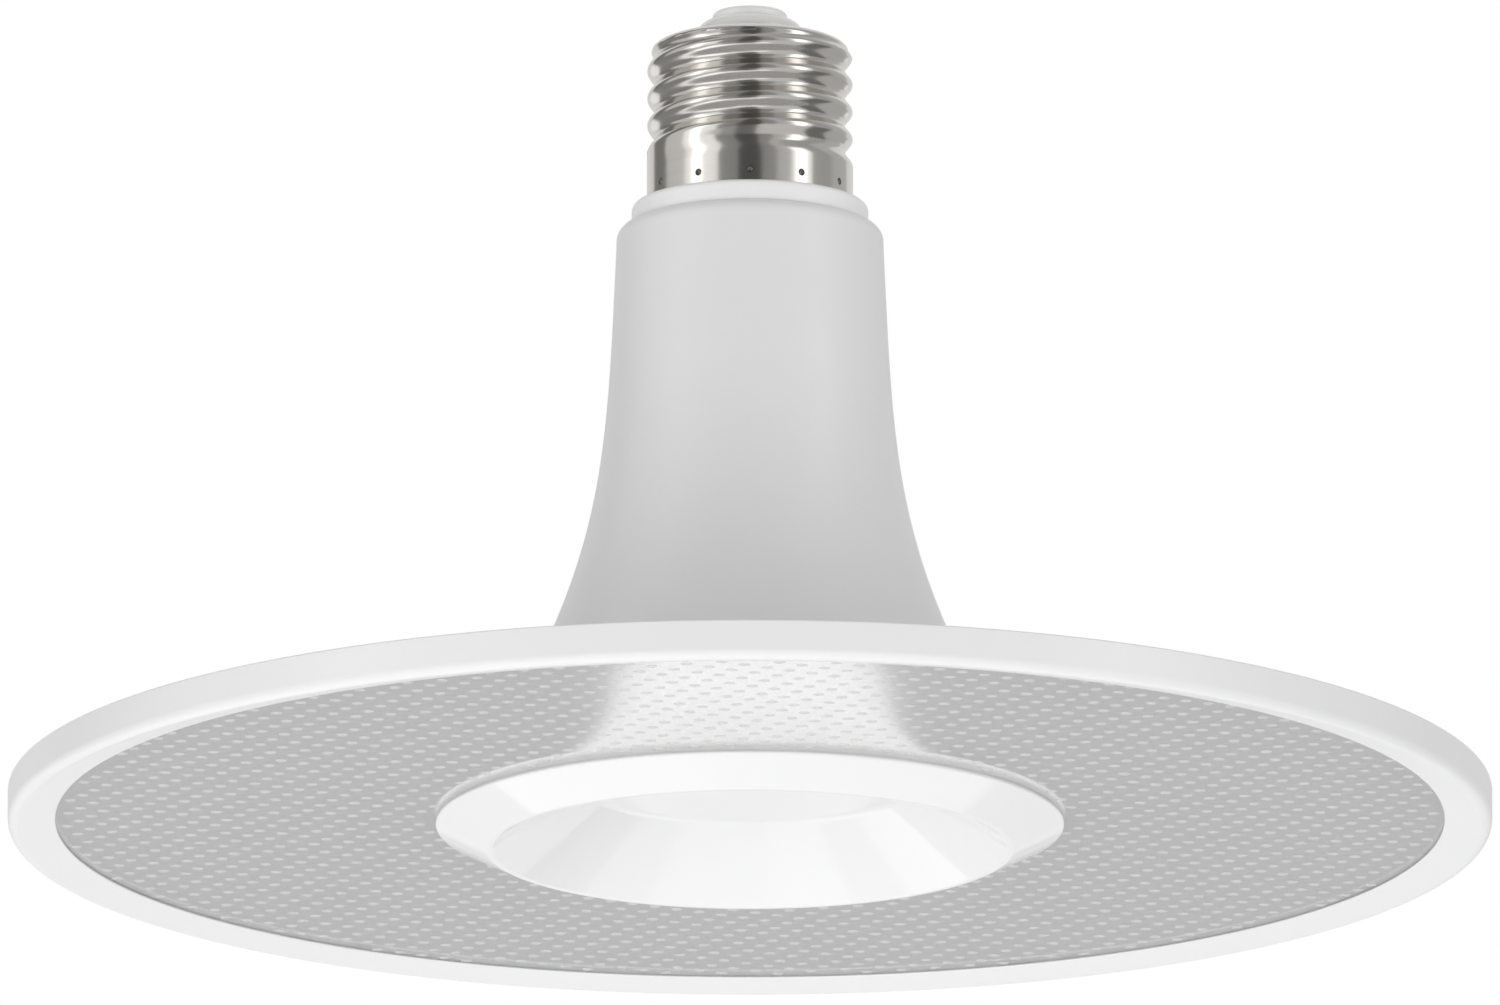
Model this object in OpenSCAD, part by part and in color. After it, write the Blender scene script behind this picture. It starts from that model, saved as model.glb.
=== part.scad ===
// LED disc lamp: a screw cap, a flared housing and an edge-lit disc round a dished hub.
// The origin is at the centre of the hub's rim, the lowest plane, and +Z runs up to the cap.

/* [Disc] */
// Outside diameter of the disc
disc_d = 190; // [150:1:240]
// Thickness of the outer ring's wall
ring_wall = 1.4; // [1.2:0.1:2]
// Width of the outer ring's underside, from wall to lip
ring_face_w = 6.1; // [5:0.1:12]
// Rise of the outer ring's underside towards its lip
ring_rise = 1; // [0.5:0.1:1.5]
// Thickness of the lip that carries the panel
ring_lip_t = 0.3; // [0.2:0.1:0.8]
// Radius of the outer ring's lower edge
ring_edge_r = 1.2; // [0.3:0.1:1.3]
// Thickness of the light guide panel
panel_t = 3; // [2.4:0.1:4]
// Thickness of the ring that closes the disc's edge from above
back_ring_t = 0.7; // [0.5:0.1:1.5]
// Thickness of the back ring's leg round the panel
back_leg_t = 0.8; // [0.6:0.1:1.2]

/* [Hub] */
// Diameter of the hub cover
hub_d = 80.5; // [79:0.5:86]
// Width of the bevel round the hub
bevel_w = 6.55; // [6:0.05:8]
// Width of the flat land on the hub's lowest rim
rim_land = 0.7; // [0.4:0.1:1]
// Height of the bevel from the rim to the hub's edge
bevel_h = 3.2; // [2.8:0.1:4]
// Height of the hub's upright edge
hub_edge_h = 0.4; // [0.3:0.1:1]
// Shadow gap between the hub's edge and the panel
shadow_gap = 0.3; // [0.2:0.1:0.6]
// Depth of the dish in the hub
dish_h = 8.5; // [6:0.1:9]
// Width of the cone from the rim to the dish's flat floor
cone_w = 12.3; // [11:0.1:15]
// Radius between the dish's floor and its cone
dish_fillet_r = 3; // [1:0.5:4]
// Wall of the hub cover
cover_t = 1.5; // [1.2:0.1:1.8]

/* [Housing] */
// Diameter of the housing's neck
neck_d = 34.3; // [33.6:0.1:38]
// Height of the housing above the panel
housing_h = 75.1; // [70:0.1:90]
// Wall of the housing
housing_wall = 1.5; // [1.2:0.1:1.8]
// Radius of the housing's shoulder
shoulder_r = 2; // [1:0.1:2.2]
// Angle at which the neck starts to widen
flare_start_a = 2.6; // [0:0.1:5]
// Angle of the flare where it reaches the foot
flare_end_a = 29.5; // [26:0.5:34]
// Pull of the flare's upper tangent
flare_top_pull = 29.3; // [20:0.1:34]
// Pull of the flare's lower tangent
flare_foot_pull = 31.3; // [24:0.1:34]
// Radius between the flare and the foot's flange
foot_fillet_r = 6.3; // [5:0.1:7]
// Thickness of the foot's flange
foot_t = 1.3; // [1:0.1:1.6]
// Width of the flat edge round the foot's flange
foot_flat_w = 0.8; // [0.5:0.1:1.2]

/* [Screw cap] */
// Diameter of the cap's plain skirt
skirt_d = 26.5; // [26.4:0.1:27]
// Height of the plain skirt
skirt_h = 5.5; // [5:0.1:7]
// Diameter over the crests of the thread
thread_d = 26.4; // [26.2:0.1:26.4]
// Depth of the thread
thread_depth = 1; // [0.8:0.1:1.1]
// Pitch of the thread
thread_pitch = 3.629; // [3.6:0.001:3.65]
// Height of the threaded stretch
thread_h = 14.9; // [12:0.1:18]
// Height over the skirt at which a crest passes the +X side
crest_rise = 3.3; // [2:0.1:4]
// Rise over which the first groove reaches its full depth
run_out_h = 1.5; // [0.5:0.1:3]
// Wall of the cap's shell
shell_t = 0.35; // [0.3:0.05:0.4]
// Height of the shell's crown above the thread
crown_h = 1.6; // [1.2:0.1:3]
// Diameter of the hole in the crown
crown_hole_d = 14; // [12:0.5:15]
// Height of the insulator above the crown
insulator_h = 2.4; // [1.8:0.1:3]
// Diameter of the centre contact
contact_d = 9.6; // [8:0.1:10]
// Height of the centre contact
contact_h = 1.4; // [1:0.1:2]
// Number of dents that crimp the skirt
dents = 12; // [6:1:16]

/* [Neck sleeve] */
// Step in from the housing's neck to the collar under the cap
collar_step = 1.95; // [1.6:0.05:2.2]
// Height of the collar
collar_h = 2.8; // [2:0.1:5]
// Wall of the neck where it grips the sleeve
grip_wall = 2.35; // [2:0.05:2.6]
// Wall of the sleeve
sleeve_wall = 1.3; // [1:0.1:1.5]
// Room for the leads between the hub cover and the sleeve
lead_room = 12; // [10:0.5:16]
// Height of the neck's bore that grips the sleeve
grip_h = 8; // [6:0.5:12]

/* [Light source] */
// Number of LEDs round the hub
leds = 30; // [12:1:40]
// Width of one LED
led_w = 3.5; // [2:0.1:3.5]
// Thickness of one LED
led_t = 0.7; // [0.5:0.1:0.8]
// Thickness of the LED strip
strip_t = 0.2; // [0.15:0.05:0.3]
// Width by which the hub cover overlaps the panel
panel_grip = 4.05; // [3.9:0.05:4.2]
// Wall of the carrier's rim
carrier_wall = 2.7; // [2.4:0.1:2.8]
// Thickness of the carrier's plate
carrier_t = 2; // [1.8:0.1:2.4]
// Gap between the LEDs and the panel's edge
led_gap = 0.7; // [0.4:0.1:1]

/* [Driver] */
// Thickness of the driver board
board_t = 1.6; // [1:0.1:1.8]
// Diameter of the bulk capacitor
bulk_d = 10; // [8:0.5:10]
// Diameter of the output capacitor
output_d = 8; // [6:0.5:10]
// Diameter of the insulated leads
lead_d = 1.2; // [0.8:0.1:1.4]

/* [Fasteners] */
// Number of screws that hold the carrier, and of hooks that hold the hub cover
fixings = 3; // [3:1:3]
// Diameter of the screws
screw_d = 2.5; // [2:0.1:2.6]
// Diameter of the screws' heads
screw_head_d = 4.7; // [4:0.1:4.8]
// Length of the screws
screw_l = 5.3; // [4.5:0.1:5.6]
// Width of one hook
hook_w = 4; // [3:0.1:6]
// Thickness of one hook
hook_t = 1.2; // [1:0.1:1.4]

/* [Hidden] */
$fn = 96;

// Clearances between neighbouring pieces
slip = 0.05;
fit_gap = 0.1;
free_gap = 0.3;
// Overlap by which shapes of one piece run into each other
bite = 0.4;

// Levels, from the rim upwards
panel_z = bevel_h + hub_edge_h + shadow_gap;
panel_top = panel_z + panel_t;
ring_low = panel_z - ring_lip_t - ring_rise;
ring_top = panel_top + back_ring_t;
foot_z = panel_top + foot_t;
plate_top = panel_top + carrier_t;
neck_top = panel_top + housing_h;
collar_top = neck_top + collar_h;
skirt_top = collar_top + skirt_h;

// Radii of the disc
disc_r = disc_d / 2;
ring_in_r = disc_r - ring_wall;
lip_r = disc_r - ring_face_w;
leg_r = ring_in_r - fit_gap;
panel_r = leg_r - back_leg_t - free_gap;

// Radii and slopes of the hub cover
hub_r = hub_d / 2;
panel_bore_r = hub_r - panel_grip;
rim_out_r = hub_r - bevel_w;
rim_in_r = rim_out_r - rim_land;
floor_r = rim_in_r - cone_w;
dish_a = atan(dish_h / (rim_in_r - floor_r));
fillet_run = dish_fillet_r * tan(dish_a / 2);
cone_rise = cover_t / cos(dish_a);
pocket_z = bevel_h * (panel_bore_r - rim_out_r) / (hub_r - rim_out_r) + cover_t - free_gap;
seat_w = 3;

// Carrier and its fixings
strip_r = panel_bore_r - led_gap - led_t;
carrier_r = strip_r - strip_t;
rim_wall_r = carrier_r - carrier_wall;
plate_r = carrier_r - carrier_wall / 2;
carrier_low = max(pocket_z, cone_top(rim_wall_r)) + free_gap;
foot_bore_r = plate_r + free_gap;
screw_r = carrier_r - 5;
hook_r = carrier_r - 6.4;
lead_hole_r = carrier_r - 5.2;
plate_bore_r = screw_r - screw_head_d / 2 - bite;
boss_r = 3.2;
boss_h = 14;
screw_hole_r = screw_d / 2 + slip;
head_h = (screw_head_d - screw_d) / 2 + 0.2;
screw_turn = 90;
hook_turn = screw_turn + 180 / fixings;
barb_h = 1.6;
barb_out = 0.9;
lead_turn = 30;
lead_low = panel_z + 1.4;

// Cap
skirt_r = skirt_d / 2;
thread_r = thread_d / 2;
root_in_r = thread_r - thread_depth - shell_t;
thread_top = skirt_top + thread_h;
crown_top = thread_top + crown_h;
crown_edge_r = thread_r - 0.55;
crown_hole_r = crown_hole_d / 2;
lip_h = 0.5;
shank_r = 1.9;
shank_low = thread_top - 1.4;
insulator_top = crown_top + insulator_h;
contact_top = insulator_top + contact_h;
dent_r = 0.55;
dent_z = collar_top + 1.7;

// Sleeve and driver
neck_r = neck_d / 2;
collar_r = neck_r - collar_step;
collar_edge_r = 0.8;
bore_r = neck_r - grip_wall;
sleeve_r = bore_r - 2 * fit_gap;
sleeve_in_r = sleeve_r - sleeve_wall;
sleeve_low = dish_h + cover_t + lead_room;
plug_r = skirt_r - shell_t - slip;
plug_in_r = plug_r - sleeve_wall;
plug_top = skirt_top - lip_h - free_gap;
board_w = 2 * (sleeve_in_r - 2 * fit_gap);
board_top = neck_top - 1;
board_low = sleeve_low;
board_h = board_top - board_low;
board_face = board_t / 2;
// Height on the board, as a share of the way down from its top
function down(share) = board_top - share * board_h;

// Height of the hub cover's inner cone at a radius
function cone_top(r) = cone_rise + (rim_in_r - r) * tan(dish_a);

// Points of an arc in the profile plane
function arc(x, z, r, from, to, steps = 8) =
    [for (i = [0:steps]) let (a = from + (to - from) * i / steps) [x + r * cos(a), z + r * sin(a)]];

// Point and unit normal of a cubic curve
function cubic(p, t) = pow(1 - t, 3) * p[0] + 3 * pow(1 - t, 2) * t * p[1]
    + 3 * (1 - t) * t * t * p[2] + pow(t, 3) * p[3];
function cubic_dir(p, t) = pow(1 - t, 2) * (p[1] - p[0]) + 2 * (1 - t) * t * (p[2] - p[1])
    + t * t * (p[3] - p[2]);
function normal(v) = [-v[1], v[0]] / norm(v);

// Flare of the housing, set in from the outer face by a wall
flare_top_z = neck_top - shoulder_r - 0.6;
flare_end = [hub_r - foot_flat_w - foot_fillet_r * cos(flare_end_a),
             foot_z + foot_fillet_r * (1 - sin(flare_end_a))];
flare = [[neck_r, flare_top_z],
         [neck_r, flare_top_z] + flare_top_pull * [sin(flare_start_a), -cos(flare_start_a)],
         flare_end + flare_foot_pull * [-sin(flare_end_a), cos(flare_end_a)],
         flare_end];
flare_steps = 28;
function flare_line(inset) = [for (i = [0:flare_steps]) let (t = i / flare_steps)
    cubic(flare, t) - inset * normal(cubic_dir(flare, t))];
function foot_fillet(inset, to) = arc(hub_r - foot_flat_w, foot_z + foot_fillet_r,
    foot_fillet_r + inset, 180 + flare_end_a, to, 6);

// Solid of the housing's outer form, set in all over
module housing_form(inset) {
    rotate_extrude()
        polygon(concat(
            [[0, neck_top - inset]],
            arc(neck_r - shoulder_r, neck_top - shoulder_r, shoulder_r - inset, 90, 0, 6),
            flare_line(inset),
            foot_fillet(inset, 270),
            [[hub_r - inset, foot_z - inset], [hub_r - inset, panel_top], [0, panel_top]]));
}

// Hollow of the housing: the grip for the sleeve, the flare and the carrier's seat
module housing_hollow() {
    inner = flare_line(housing_wall);
    seat_line = [for (p = inner) if (p[1] < neck_top - grip_h - bite) p];
    rotate_extrude()
        polygon(concat(
            [[0, neck_top + bite], [bore_r, neck_top + bite], [bore_r, neck_top - grip_h]],
            seat_line,
            [[inner[flare_steps][0], plate_top], [foot_bore_r, plate_top],
             [foot_bore_r, panel_top - bite], [0, panel_top - bite]]));
}

// Copies at the fixings round the hub
module round_hub(turn, r) {
    for (i = [0:fixings - 1])
        rotate(turn + i * 360 / fixings)
            translate([r, 0, 0])
                children();
}

// One upright box with round corners
module soft_box(size, r) {
    linear_extrude(size[2])
        offset(r)
            square([size[0] - 2 * r, size[1] - 2 * r], center = true);
}

// Round wire along points (radius, height) in one upright plane
module lead(points, d, sides = 8) {
    last = len(points) - 1;
    function along(i) = points[min(i + 1, last)] - points[max(i - 1, 0)];
    rings = [for (i = [0:last]) let (n = normal(along(i)))
        for (k = [0:sides - 1]) let (a = 360 * k / sides)
            [points[i][0] + d / 2 * cos(a) * n[0], d / 2 * sin(a), points[i][1] + d / 2 * cos(a) * n[1]]];
    side_faces = [for (i = [0:last - 1]) for (k = [0:sides - 1])
        let (a = i * sides + k, b = i * sides + (k + 1) % sides)
            each [[a, b, a + sides], [b, b + sides, a + sides]]];
    start_face = [for (k = [sides - 1:-1:0]) k];
    end_face = [for (k = [0:sides - 1]) last * sides + k];
    polyhedron(rings, concat(side_faces, [start_face], [end_face]));
}

// Rounds the corners of a wire's route
function eased(p, r, steps = 4) = concat([p[0]],
    [for (i = [1:len(p) - 2])
        let (a = p[i] + (p[i - 1] - p[i]) * min(r / norm(p[i - 1] - p[i]), 0.45),
             b = p[i] + (p[i + 1] - p[i]) * min(r / norm(p[i + 1] - p[i]), 0.45))
            each [for (s = [0:steps]) let (t = s / steps)
                pow(1 - t, 2) * a + 2 * (1 - t) * t * p[i] + t * t * b]],
    [p[len(p) - 1]]);

// Radius of the cap's rolled thread: rounded crests and grooves on a right-hand helix.
// The first groove runs out into the skirt, and the last turn ends in the crown's edge.
function thread_radius(turn, z) =
    let (u = (z - skirt_top - crest_rise) / thread_pitch - turn,
         groove_rise = crest_rise + (floor(u) + 0.5 + turn) * thread_pitch,
         run_out = max(0, min(1, groove_rise / run_out_h)),
         rolled = thread_r - thread_depth * run_out * (1 - cos(360 * u)) / 2,
         low = max(0, min(1, (z - skirt_top) / 0.5)),
         high = max(0, min(1, (thread_top - z) / 1)))
    (thread_r * (1 - low) + rolled * low) * high + (crown_edge_r - 0.15) * (1 - high);

// Threaded stretch of the shell, with the same wall all over
module threaded_wall() {
    sides = 32;
    rows = ceil(thread_h / thread_pitch * 8);
    ring = 2 * (rows + 1);
    function z_at(j) = skirt_top + thread_h * j / rows;
    function at(turn, r, z) = [r * cos(360 * turn), r * sin(360 * turn), z];
    points = [for (i = [0:sides - 1]) each concat(
        [for (j = [0:rows]) at(i / sides, thread_radius(i / sides, z_at(j)), z_at(j))],
        [for (j = [rows:-1:0]) at(i / sides, thread_radius(i / sides, z_at(j)) - shell_t, z_at(j))])];
    faces = [for (i = [0:sides - 1]) for (j = [0:ring - 1])
        let (next = (i + 1) % sides, up = (j + 1) % ring,
             a = i * ring + j, b = next * ring + j, c = next * ring + up, d = i * ring + up)
            each [[a, d, b], [b, d, c]]];
    polyhedron(points, faces);
}

// Curve of the shell's crown, set in by a wall
function crown_line(inset, from = 0) = [for (i = [0:6]) let (a = from + (90 - from) * i / 6)
    [crown_hole_r + (crown_edge_r - inset - crown_hole_r) * cos(a), thread_top + (crown_h - inset) * sin(a)]];

// Nickel-plated screw shell: crimped skirt, rolled thread and domed crown
module cap_shell() {
    skirt_in_r = skirt_r - shell_t;
    inner_crown = crown_line(shell_t, 15);
    color("silver") {
        difference() {
            union() {
                rotate_extrude()
                    polygon([
                        [skirt_in_r, collar_top], [skirt_r, collar_top], [skirt_r, skirt_top],
                        [skirt_in_r - shell_t, skirt_top], [skirt_in_r - shell_t, skirt_top - lip_h],
                        [skirt_in_r, skirt_top - lip_h]]);
                intersection() {
                    at_dents()
                        sphere(dent_r + shell_t, $fn = 24);
                    translate([0, 0, collar_top])
                        cylinder(r = skirt_r - shell_t / 2, h = skirt_h);
                }
            }
            at_dents()
                sphere(dent_r, $fn = 24);
        }
        threaded_wall();
        rotate_extrude()
            polygon(concat(
                crown_line(0),
                [for (i = [6:-1:0]) inner_crown[i]],
                [[crown_edge_r - 2 * shell_t, thread_top]]));
    }
}

// Places of the dents round the skirt
module at_dents() {
    for (i = [0:dents - 1])
        rotate(i * 360 / dents)
            translate([skirt_r, 0, dent_z])
                children();
}

// Eyelet on the insulator, with its shank
module centre_contact() {
    r = contact_d / 2;
    edge = 0.8;
    color("gainsboro")
        rotate_extrude()
            polygon(concat(
                [[0, shank_low], [shank_r, shank_low], [shank_r, insulator_top], [r, insulator_top]],
                arc(r - edge, contact_top - edge - 0.2, edge, 0, 60, 4),
                [[r * 0.4, contact_top], [0, contact_top]]));
}

// Insulator that fills the crown and domes up to the contact
module cap_insulator() {
    dome_r = crown_hole_r - slip;
    neck_h = 0.3;
    flange = crown_line(shell_t + slip, 40);
    low = thread_top - 0.8;
    color("white")
        rotate_extrude()
            polygon(concat(
                [[shank_r + slip, low], [flange[0][0], low]],
                [for (p = flange) if (p[0] > dome_r) p],
                [[dome_r, flange[6][1]]],
                [for (i = [0:6]) let (a = 15 * i)
                    [contact_d / 2 + (dome_r - contact_d / 2) * cos(a),
                     crown_top + neck_h + (insulator_h - neck_h) * sin(a)]],
                [[shank_r + slip, insulator_top]]));
}

// Insulating sleeve that holds the driver: collar, plug for the cap, snap bead and board grooves
module neck_sleeve() {
    bead_z = neck_top - grip_h - free_gap;
    groove_w = 1.2;
    groove_r = board_w / 2 - 1.2;
    color("whitesmoke")
        difference() {
            union() {
                rotate_extrude()
                    polygon(concat(
                        [[plug_in_r, plug_top], [plug_r, plug_top], [plug_r, collar_top]],
                        arc(collar_r - collar_edge_r, collar_top - collar_edge_r, collar_edge_r, 90, 0, 5),
                        [[collar_r, neck_top], [sleeve_r, neck_top], [sleeve_r, bead_z],
                         [sleeve_r + 0.5, bead_z - 0.5], [sleeve_r + 0.5, bead_z - 1],
                         [sleeve_r, bead_z - 2.2], [sleeve_r, sleeve_low], [sleeve_in_r, sleeve_low],
                         [sleeve_in_r, board_top + 0.6], [plug_in_r, collar_top]]));
                for (side = [-1, 1]) for (face = [-1, 1])
                    translate([side * (groove_r + sleeve_in_r + bite) / 2,
                               face * (board_face + fit_gap + groove_w / 2), sleeve_low])
                        translate([-(sleeve_in_r + bite - groove_r) / 2, -groove_w / 2, 0])
                            cube([sleeve_in_r + bite - groove_r, groove_w, board_top - sleeve_low]);
            }
            at_dents()
                sphere(dent_r + shell_t + slip, $fn = 24);
        }
}

// Flared housing of white-lacquered aluminium with three screw bosses
module housing() {
    color("white")
        difference() {
            union() {
                difference() {
                    housing_form(0);
                    housing_hollow();
                }
                intersection() {
                    translate([0, 0, plate_top])
                        round_hub(screw_turn, screw_r)
                            cylinder(r = boss_r, h = boss_h, $fn = 32);
                    housing_form(housing_wall / 2);
                }
            }
            translate([0, 0, plate_top - bite])
                round_hub(screw_turn, screw_r)
                    cylinder(r = screw_hole_r, h = screw_l - carrier_t + bite + 0.2, $fn = 24);
        }
}

// Driver board that slides into the sleeve's grooves
module driver_board() {
    color("darkgreen")
        translate([-board_w / 2, -board_face, board_low])
            cube([board_w, board_t, board_h]);
}

// Places a component on the board's front (+Y) face, its height running away from the board
module on_front(x, z) {
    translate([x, board_face, z])
        rotate([-90, 0, 0])
            children();
}

// Places a component on the board's back (-Y) face
module on_back(x, z) {
    translate([x, -board_face, z])
        rotate([90, 0, 0])
            children();
}

// Film capacitor across the line
module film_capacitor() {
    color("goldenrod")
        on_front(0, down(0.127))
            soft_box([13, 0.17 * board_h, 6], 1);
}

// Drum choke: a dumbbell core wound with wire
module line_choke() {
    flange_r = 0.0675 * board_h;
    core_h = 8;
    color("dimgray")
        on_front(-5, down(0.322))
            rotate_extrude($fn = 48)
                polygon([[0, 0], [flange_r, 0], [flange_r, 1.2], [flange_r - 0.6, 1.4],
                         [flange_r - 0.6, core_h - 1.4], [flange_r, core_h - 1.2],
                         [flange_r, core_h], [0, core_h]]);
}

// Fusible resistor with its bent wires
module fusible_resistor() {
    body_r = 1.6;
    body_l = 7;
    bend = 1.4;
    color("cadetblue")
        translate([7, -board_face - body_r - fit_gap, down(0.22)]) {
            rotate_extrude($fn = 32)
                polygon([[0, 0], [body_r, 0.3], [body_r, 1.6], [body_r - 0.25, 2],
                         [body_r - 0.25, body_l - 2], [body_r, body_l - 1.6],
                         [body_r, body_l - 0.3], [0, body_l]]);
            for (z = [-bend, 0])
                translate([0, 0, z + (z == 0 ? body_l - bite : 0)])
                    cylinder(r = 0.35, h = bend + bite, $fn = 16);
            for (z = [-bend, body_l + bend])
                translate([0, -0.35, z])
                    rotate([-90, 0, 0])
                        cylinder(r = 0.35, h = body_r + fit_gap + 0.35, $fn = 16);
        }
}

// Flat chip with a row of bent legs along two sides
module chip(size, pins, pitch) {
    leg_w = 0.45;
    leg_h = 0.25;
    reach = 1;
    translate([0, 0, fit_gap])
        linear_extrude(size[2] - fit_gap)
            square([size[0], size[1]], center = true);
    for (side = [-1, 1]) for (i = [0:pins - 1])
        translate([(i - (pins - 1) / 2) * pitch, side * size[1] / 2, 0]) {
            translate([-leg_w / 2, side > 0 ? -bite / 2 : -reach + bite / 2, size[2] / 2])
                cube([leg_w, reach, leg_h]);
            translate([-leg_w / 2, side > 0 ? reach - bite / 2 - leg_h : -reach + bite / 2, 0])
                cube([leg_w, leg_h, size[2] / 2 + leg_h]);
            translate([-leg_w / 2, side > 0 ? reach - bite / 2 - leg_h : -reach - bite / 2, 0])
                cube([leg_w, bite + leg_h, leg_h]);
        }
}

// Bridge rectifier
module bridge_rectifier() {
    color("dimgray")
        on_back(-5, down(0.271))
            chip([4.7, 3.9, 2.4], 2, 2.5);
}

// Switching chip of the driver
module driver_chip() {
    color("dimgray")
        on_back(-4, down(0.78))
            chip([4.9, 3.9, 1.5], 4, 1.27);
}

// Can of an electrolytic capacitor lying along the board, with two bent legs
module can_capacitor(d, h) {
    r = d / 2;
    axis_y = board_face + fit_gap + r;
    leg_r = 0.3;
    leg_gap = 2.5;
    reach = 1.6;
    translate([0, axis_y, 0])
        rotate_extrude($fn = 64)
            polygon([[0, 0.4], [r - 1, 0.4], [r - 1, 0], [r - 0.4, 0], [r, 0.5], [r, 1.6],
                     [r - 0.35, 2.1], [r, 2.6], [r, h - 0.6], [r - 0.6, h], [0, h]]);
    for (x = [-leg_gap, leg_gap]) translate([x, 0, 0]) {
        translate([0, axis_y, -reach])
            cylinder(r = leg_r, h = reach + bite + 0.4, $fn = 16);
        translate([0, board_face, -reach])
            rotate([-90, 0, 0])
                cylinder(r = leg_r, h = axis_y - board_face + leg_r, $fn = 16);
    }
}

// Bulk capacitor behind the rectifier
module bulk_capacitor() {
    color("midnightblue")
        translate([0, 0, down(0.746)])
            can_capacitor(bulk_d, 0.271 * board_h);
}

// Capacitor that smooths the LEDs' current
module output_capacitor() {
    color("midnightblue")
        translate([0, 0, down(0.959)])
            can_capacitor(output_d, 0.169 * board_h);
}

// Transformer: a ferrite frame round a wound bobbin on two rows of pins
module transformer() {
    core = [13, 12, 9.6];
    leg = 2.2;
    color("saddlebrown")
        on_back(0, down(0.49)) {
            translate([0, 0, 0.6])
                difference() {
                    linear_extrude(core[2] - 0.6)
                        square([core[0], core[1]], center = true);
                    translate([0, 0, leg])
                        linear_extrude(core[2] - 0.6 - 2 * leg)
                            difference() {
                                square([core[0] - 2 * leg, core[1] + bite], center = true);
                                circle(d = 4.6, $fn = 32);
                            }
                }
            translate([0, 0, leg + 0.6 - bite / 2])
                cylinder(d = 8, h = core[2] - 0.6 - 2 * leg + bite, $fn = 48);
            for (x = [-1, 1]) for (y = [-1, 0, 1])
                translate([x * 4.5, y * 3.4, 0])
                    cylinder(r = 0.35, h = 0.6 + bite, $fn = 16);
        }
}

// Lead from the board to the centre contact
module live_lead() {
    color("firebrick")
        rotate(90)
            lead(eased([[1.5, board_top - 1.4], [1.5, board_top + 5], [0.1, board_top + 14],
                        [0, shank_low - slip]], 3), lead_d);
}

// Lead from the board over the sleeve's edge to the shell's wall
module neutral_lead() {
    color("dodgerblue")
        rotate(30)
            lead(eased([[3.1, board_top - 1.4], [3.1, board_top + 3], [plug_in_r - 2.6, plug_top - 2],
                        [plug_in_r - 1, plug_top + lead_d], [root_in_r - 0.15, plug_top + lead_d + 0.3]],
                       2.5), lead_d);
}

// Route of a lead from the board's foot out to the LED strip
function output_route() = eased([[1.7, board_low + 2], [1.7, sleeve_low - 3], [9, dish_h + cover_t + 2.6],
    [lead_hole_r - 3.9, dish_h + cover_t + 1.7], [lead_hole_r, plate_top + 1.6], [lead_hole_r, lead_low],
    [carrier_r - 0.1, lead_low]], 2);

// Positive lead of the LED strip
module positive_lead() {
    color("firebrick")
        rotate(270 - lead_turn)
            lead(output_route(), lead_d);
}

// Negative lead of the LED strip
module negative_lead() {
    color("darkslategray")
        rotate(270 + lead_turn)
            lead(output_route(), lead_d);
}

// Aluminium carrier: a plate under the housing's seat and a rim that the LED strip is bonded round
module led_carrier() {
    slot_in = hook_r - hook_t / 2 - free_gap;
    slot_out = hook_r + hook_t / 2 + barb_out + free_gap;
    color("lightgray")
        difference() {
            rotate_extrude()
                polygon([[plate_bore_r, panel_top], [rim_wall_r, panel_top], [rim_wall_r, carrier_low],
                         [carrier_r, carrier_low], [carrier_r, panel_top], [plate_r, panel_top],
                         [plate_r, plate_top], [plate_bore_r, plate_top]]);
            translate([0, 0, panel_top - bite])
                round_hub(screw_turn, screw_r)
                    cylinder(r = screw_hole_r, h = carrier_t + 2 * bite, $fn = 24);
            translate([0, 0, panel_top])
                round_hub(screw_turn, screw_r)
                    cylinder(r1 = screw_head_d / 2 + slip, r2 = screw_hole_r, h = head_h, $fn = 48);
            round_hub(hook_turn, 0)
                translate([slot_in, -hook_w / 2 - free_gap, panel_top - bite])
                    cube([slot_out - slot_in, hook_w + 2 * free_gap, carrier_t + 2 * bite]);
            for (turn = [270 - lead_turn, 270 + lead_turn]) rotate(turn) {
                translate([lead_hole_r, 0, panel_top - bite])
                    cylinder(r = lead_d / 2 + free_gap, h = carrier_t + 2 * bite, $fn = 24);
                translate([rim_wall_r - 1, -lead_d / 2 - free_gap, carrier_low - bite])
                    cube([carrier_wall + 2, lead_d + 2 * free_gap,
                          lead_low + lead_d / 2 + free_gap - carrier_low + bite]);
            }
        }
}

// Countersunk screws that clamp the carrier against the housing
module carrier_screws() {
    recess_w = 0.7;
    color("silver")
        round_hub(screw_turn, screw_r)
            translate([0, 0, panel_top])
                difference() {
                    rotate_extrude($fn = 48)
                        polygon([[0, 0], [screw_head_d / 2, 0], [screw_d / 2, head_h - slip],
                                 [screw_d / 2, screw_l - 0.8], [screw_d / 4, screw_l], [0, screw_l]]);
                    for (turn = [0, 90])
                        rotate(turn)
                            translate([-screw_head_d * 0.3, -recess_w / 2, -bite])
                                cube([screw_head_d * 0.6, recess_w, bite + 0.7]);
                }
}

// Flexible strip bonded round the carrier's rim
module led_strip() {
    color("ivory")
        translate([0, 0, carrier_low + fit_gap])
            difference() {
                cylinder(r = strip_r, h = panel_top - fit_gap - carrier_low - fit_gap);
                translate([0, 0, -bite])
                    cylinder(r = carrier_r, h = panel_t * 2 + 2 * bite);
            }
}

// LEDs on the strip, facing the panel's inner edge
module led_chips() {
    color("khaki")
        for (i = [0:leds - 1])
            rotate(i * 360 / leds)
                translate([strip_r, -led_w / 2, panel_z + fit_gap])
                    cube([led_t, led_w, panel_t - 2 * fit_gap]);
}

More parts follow.
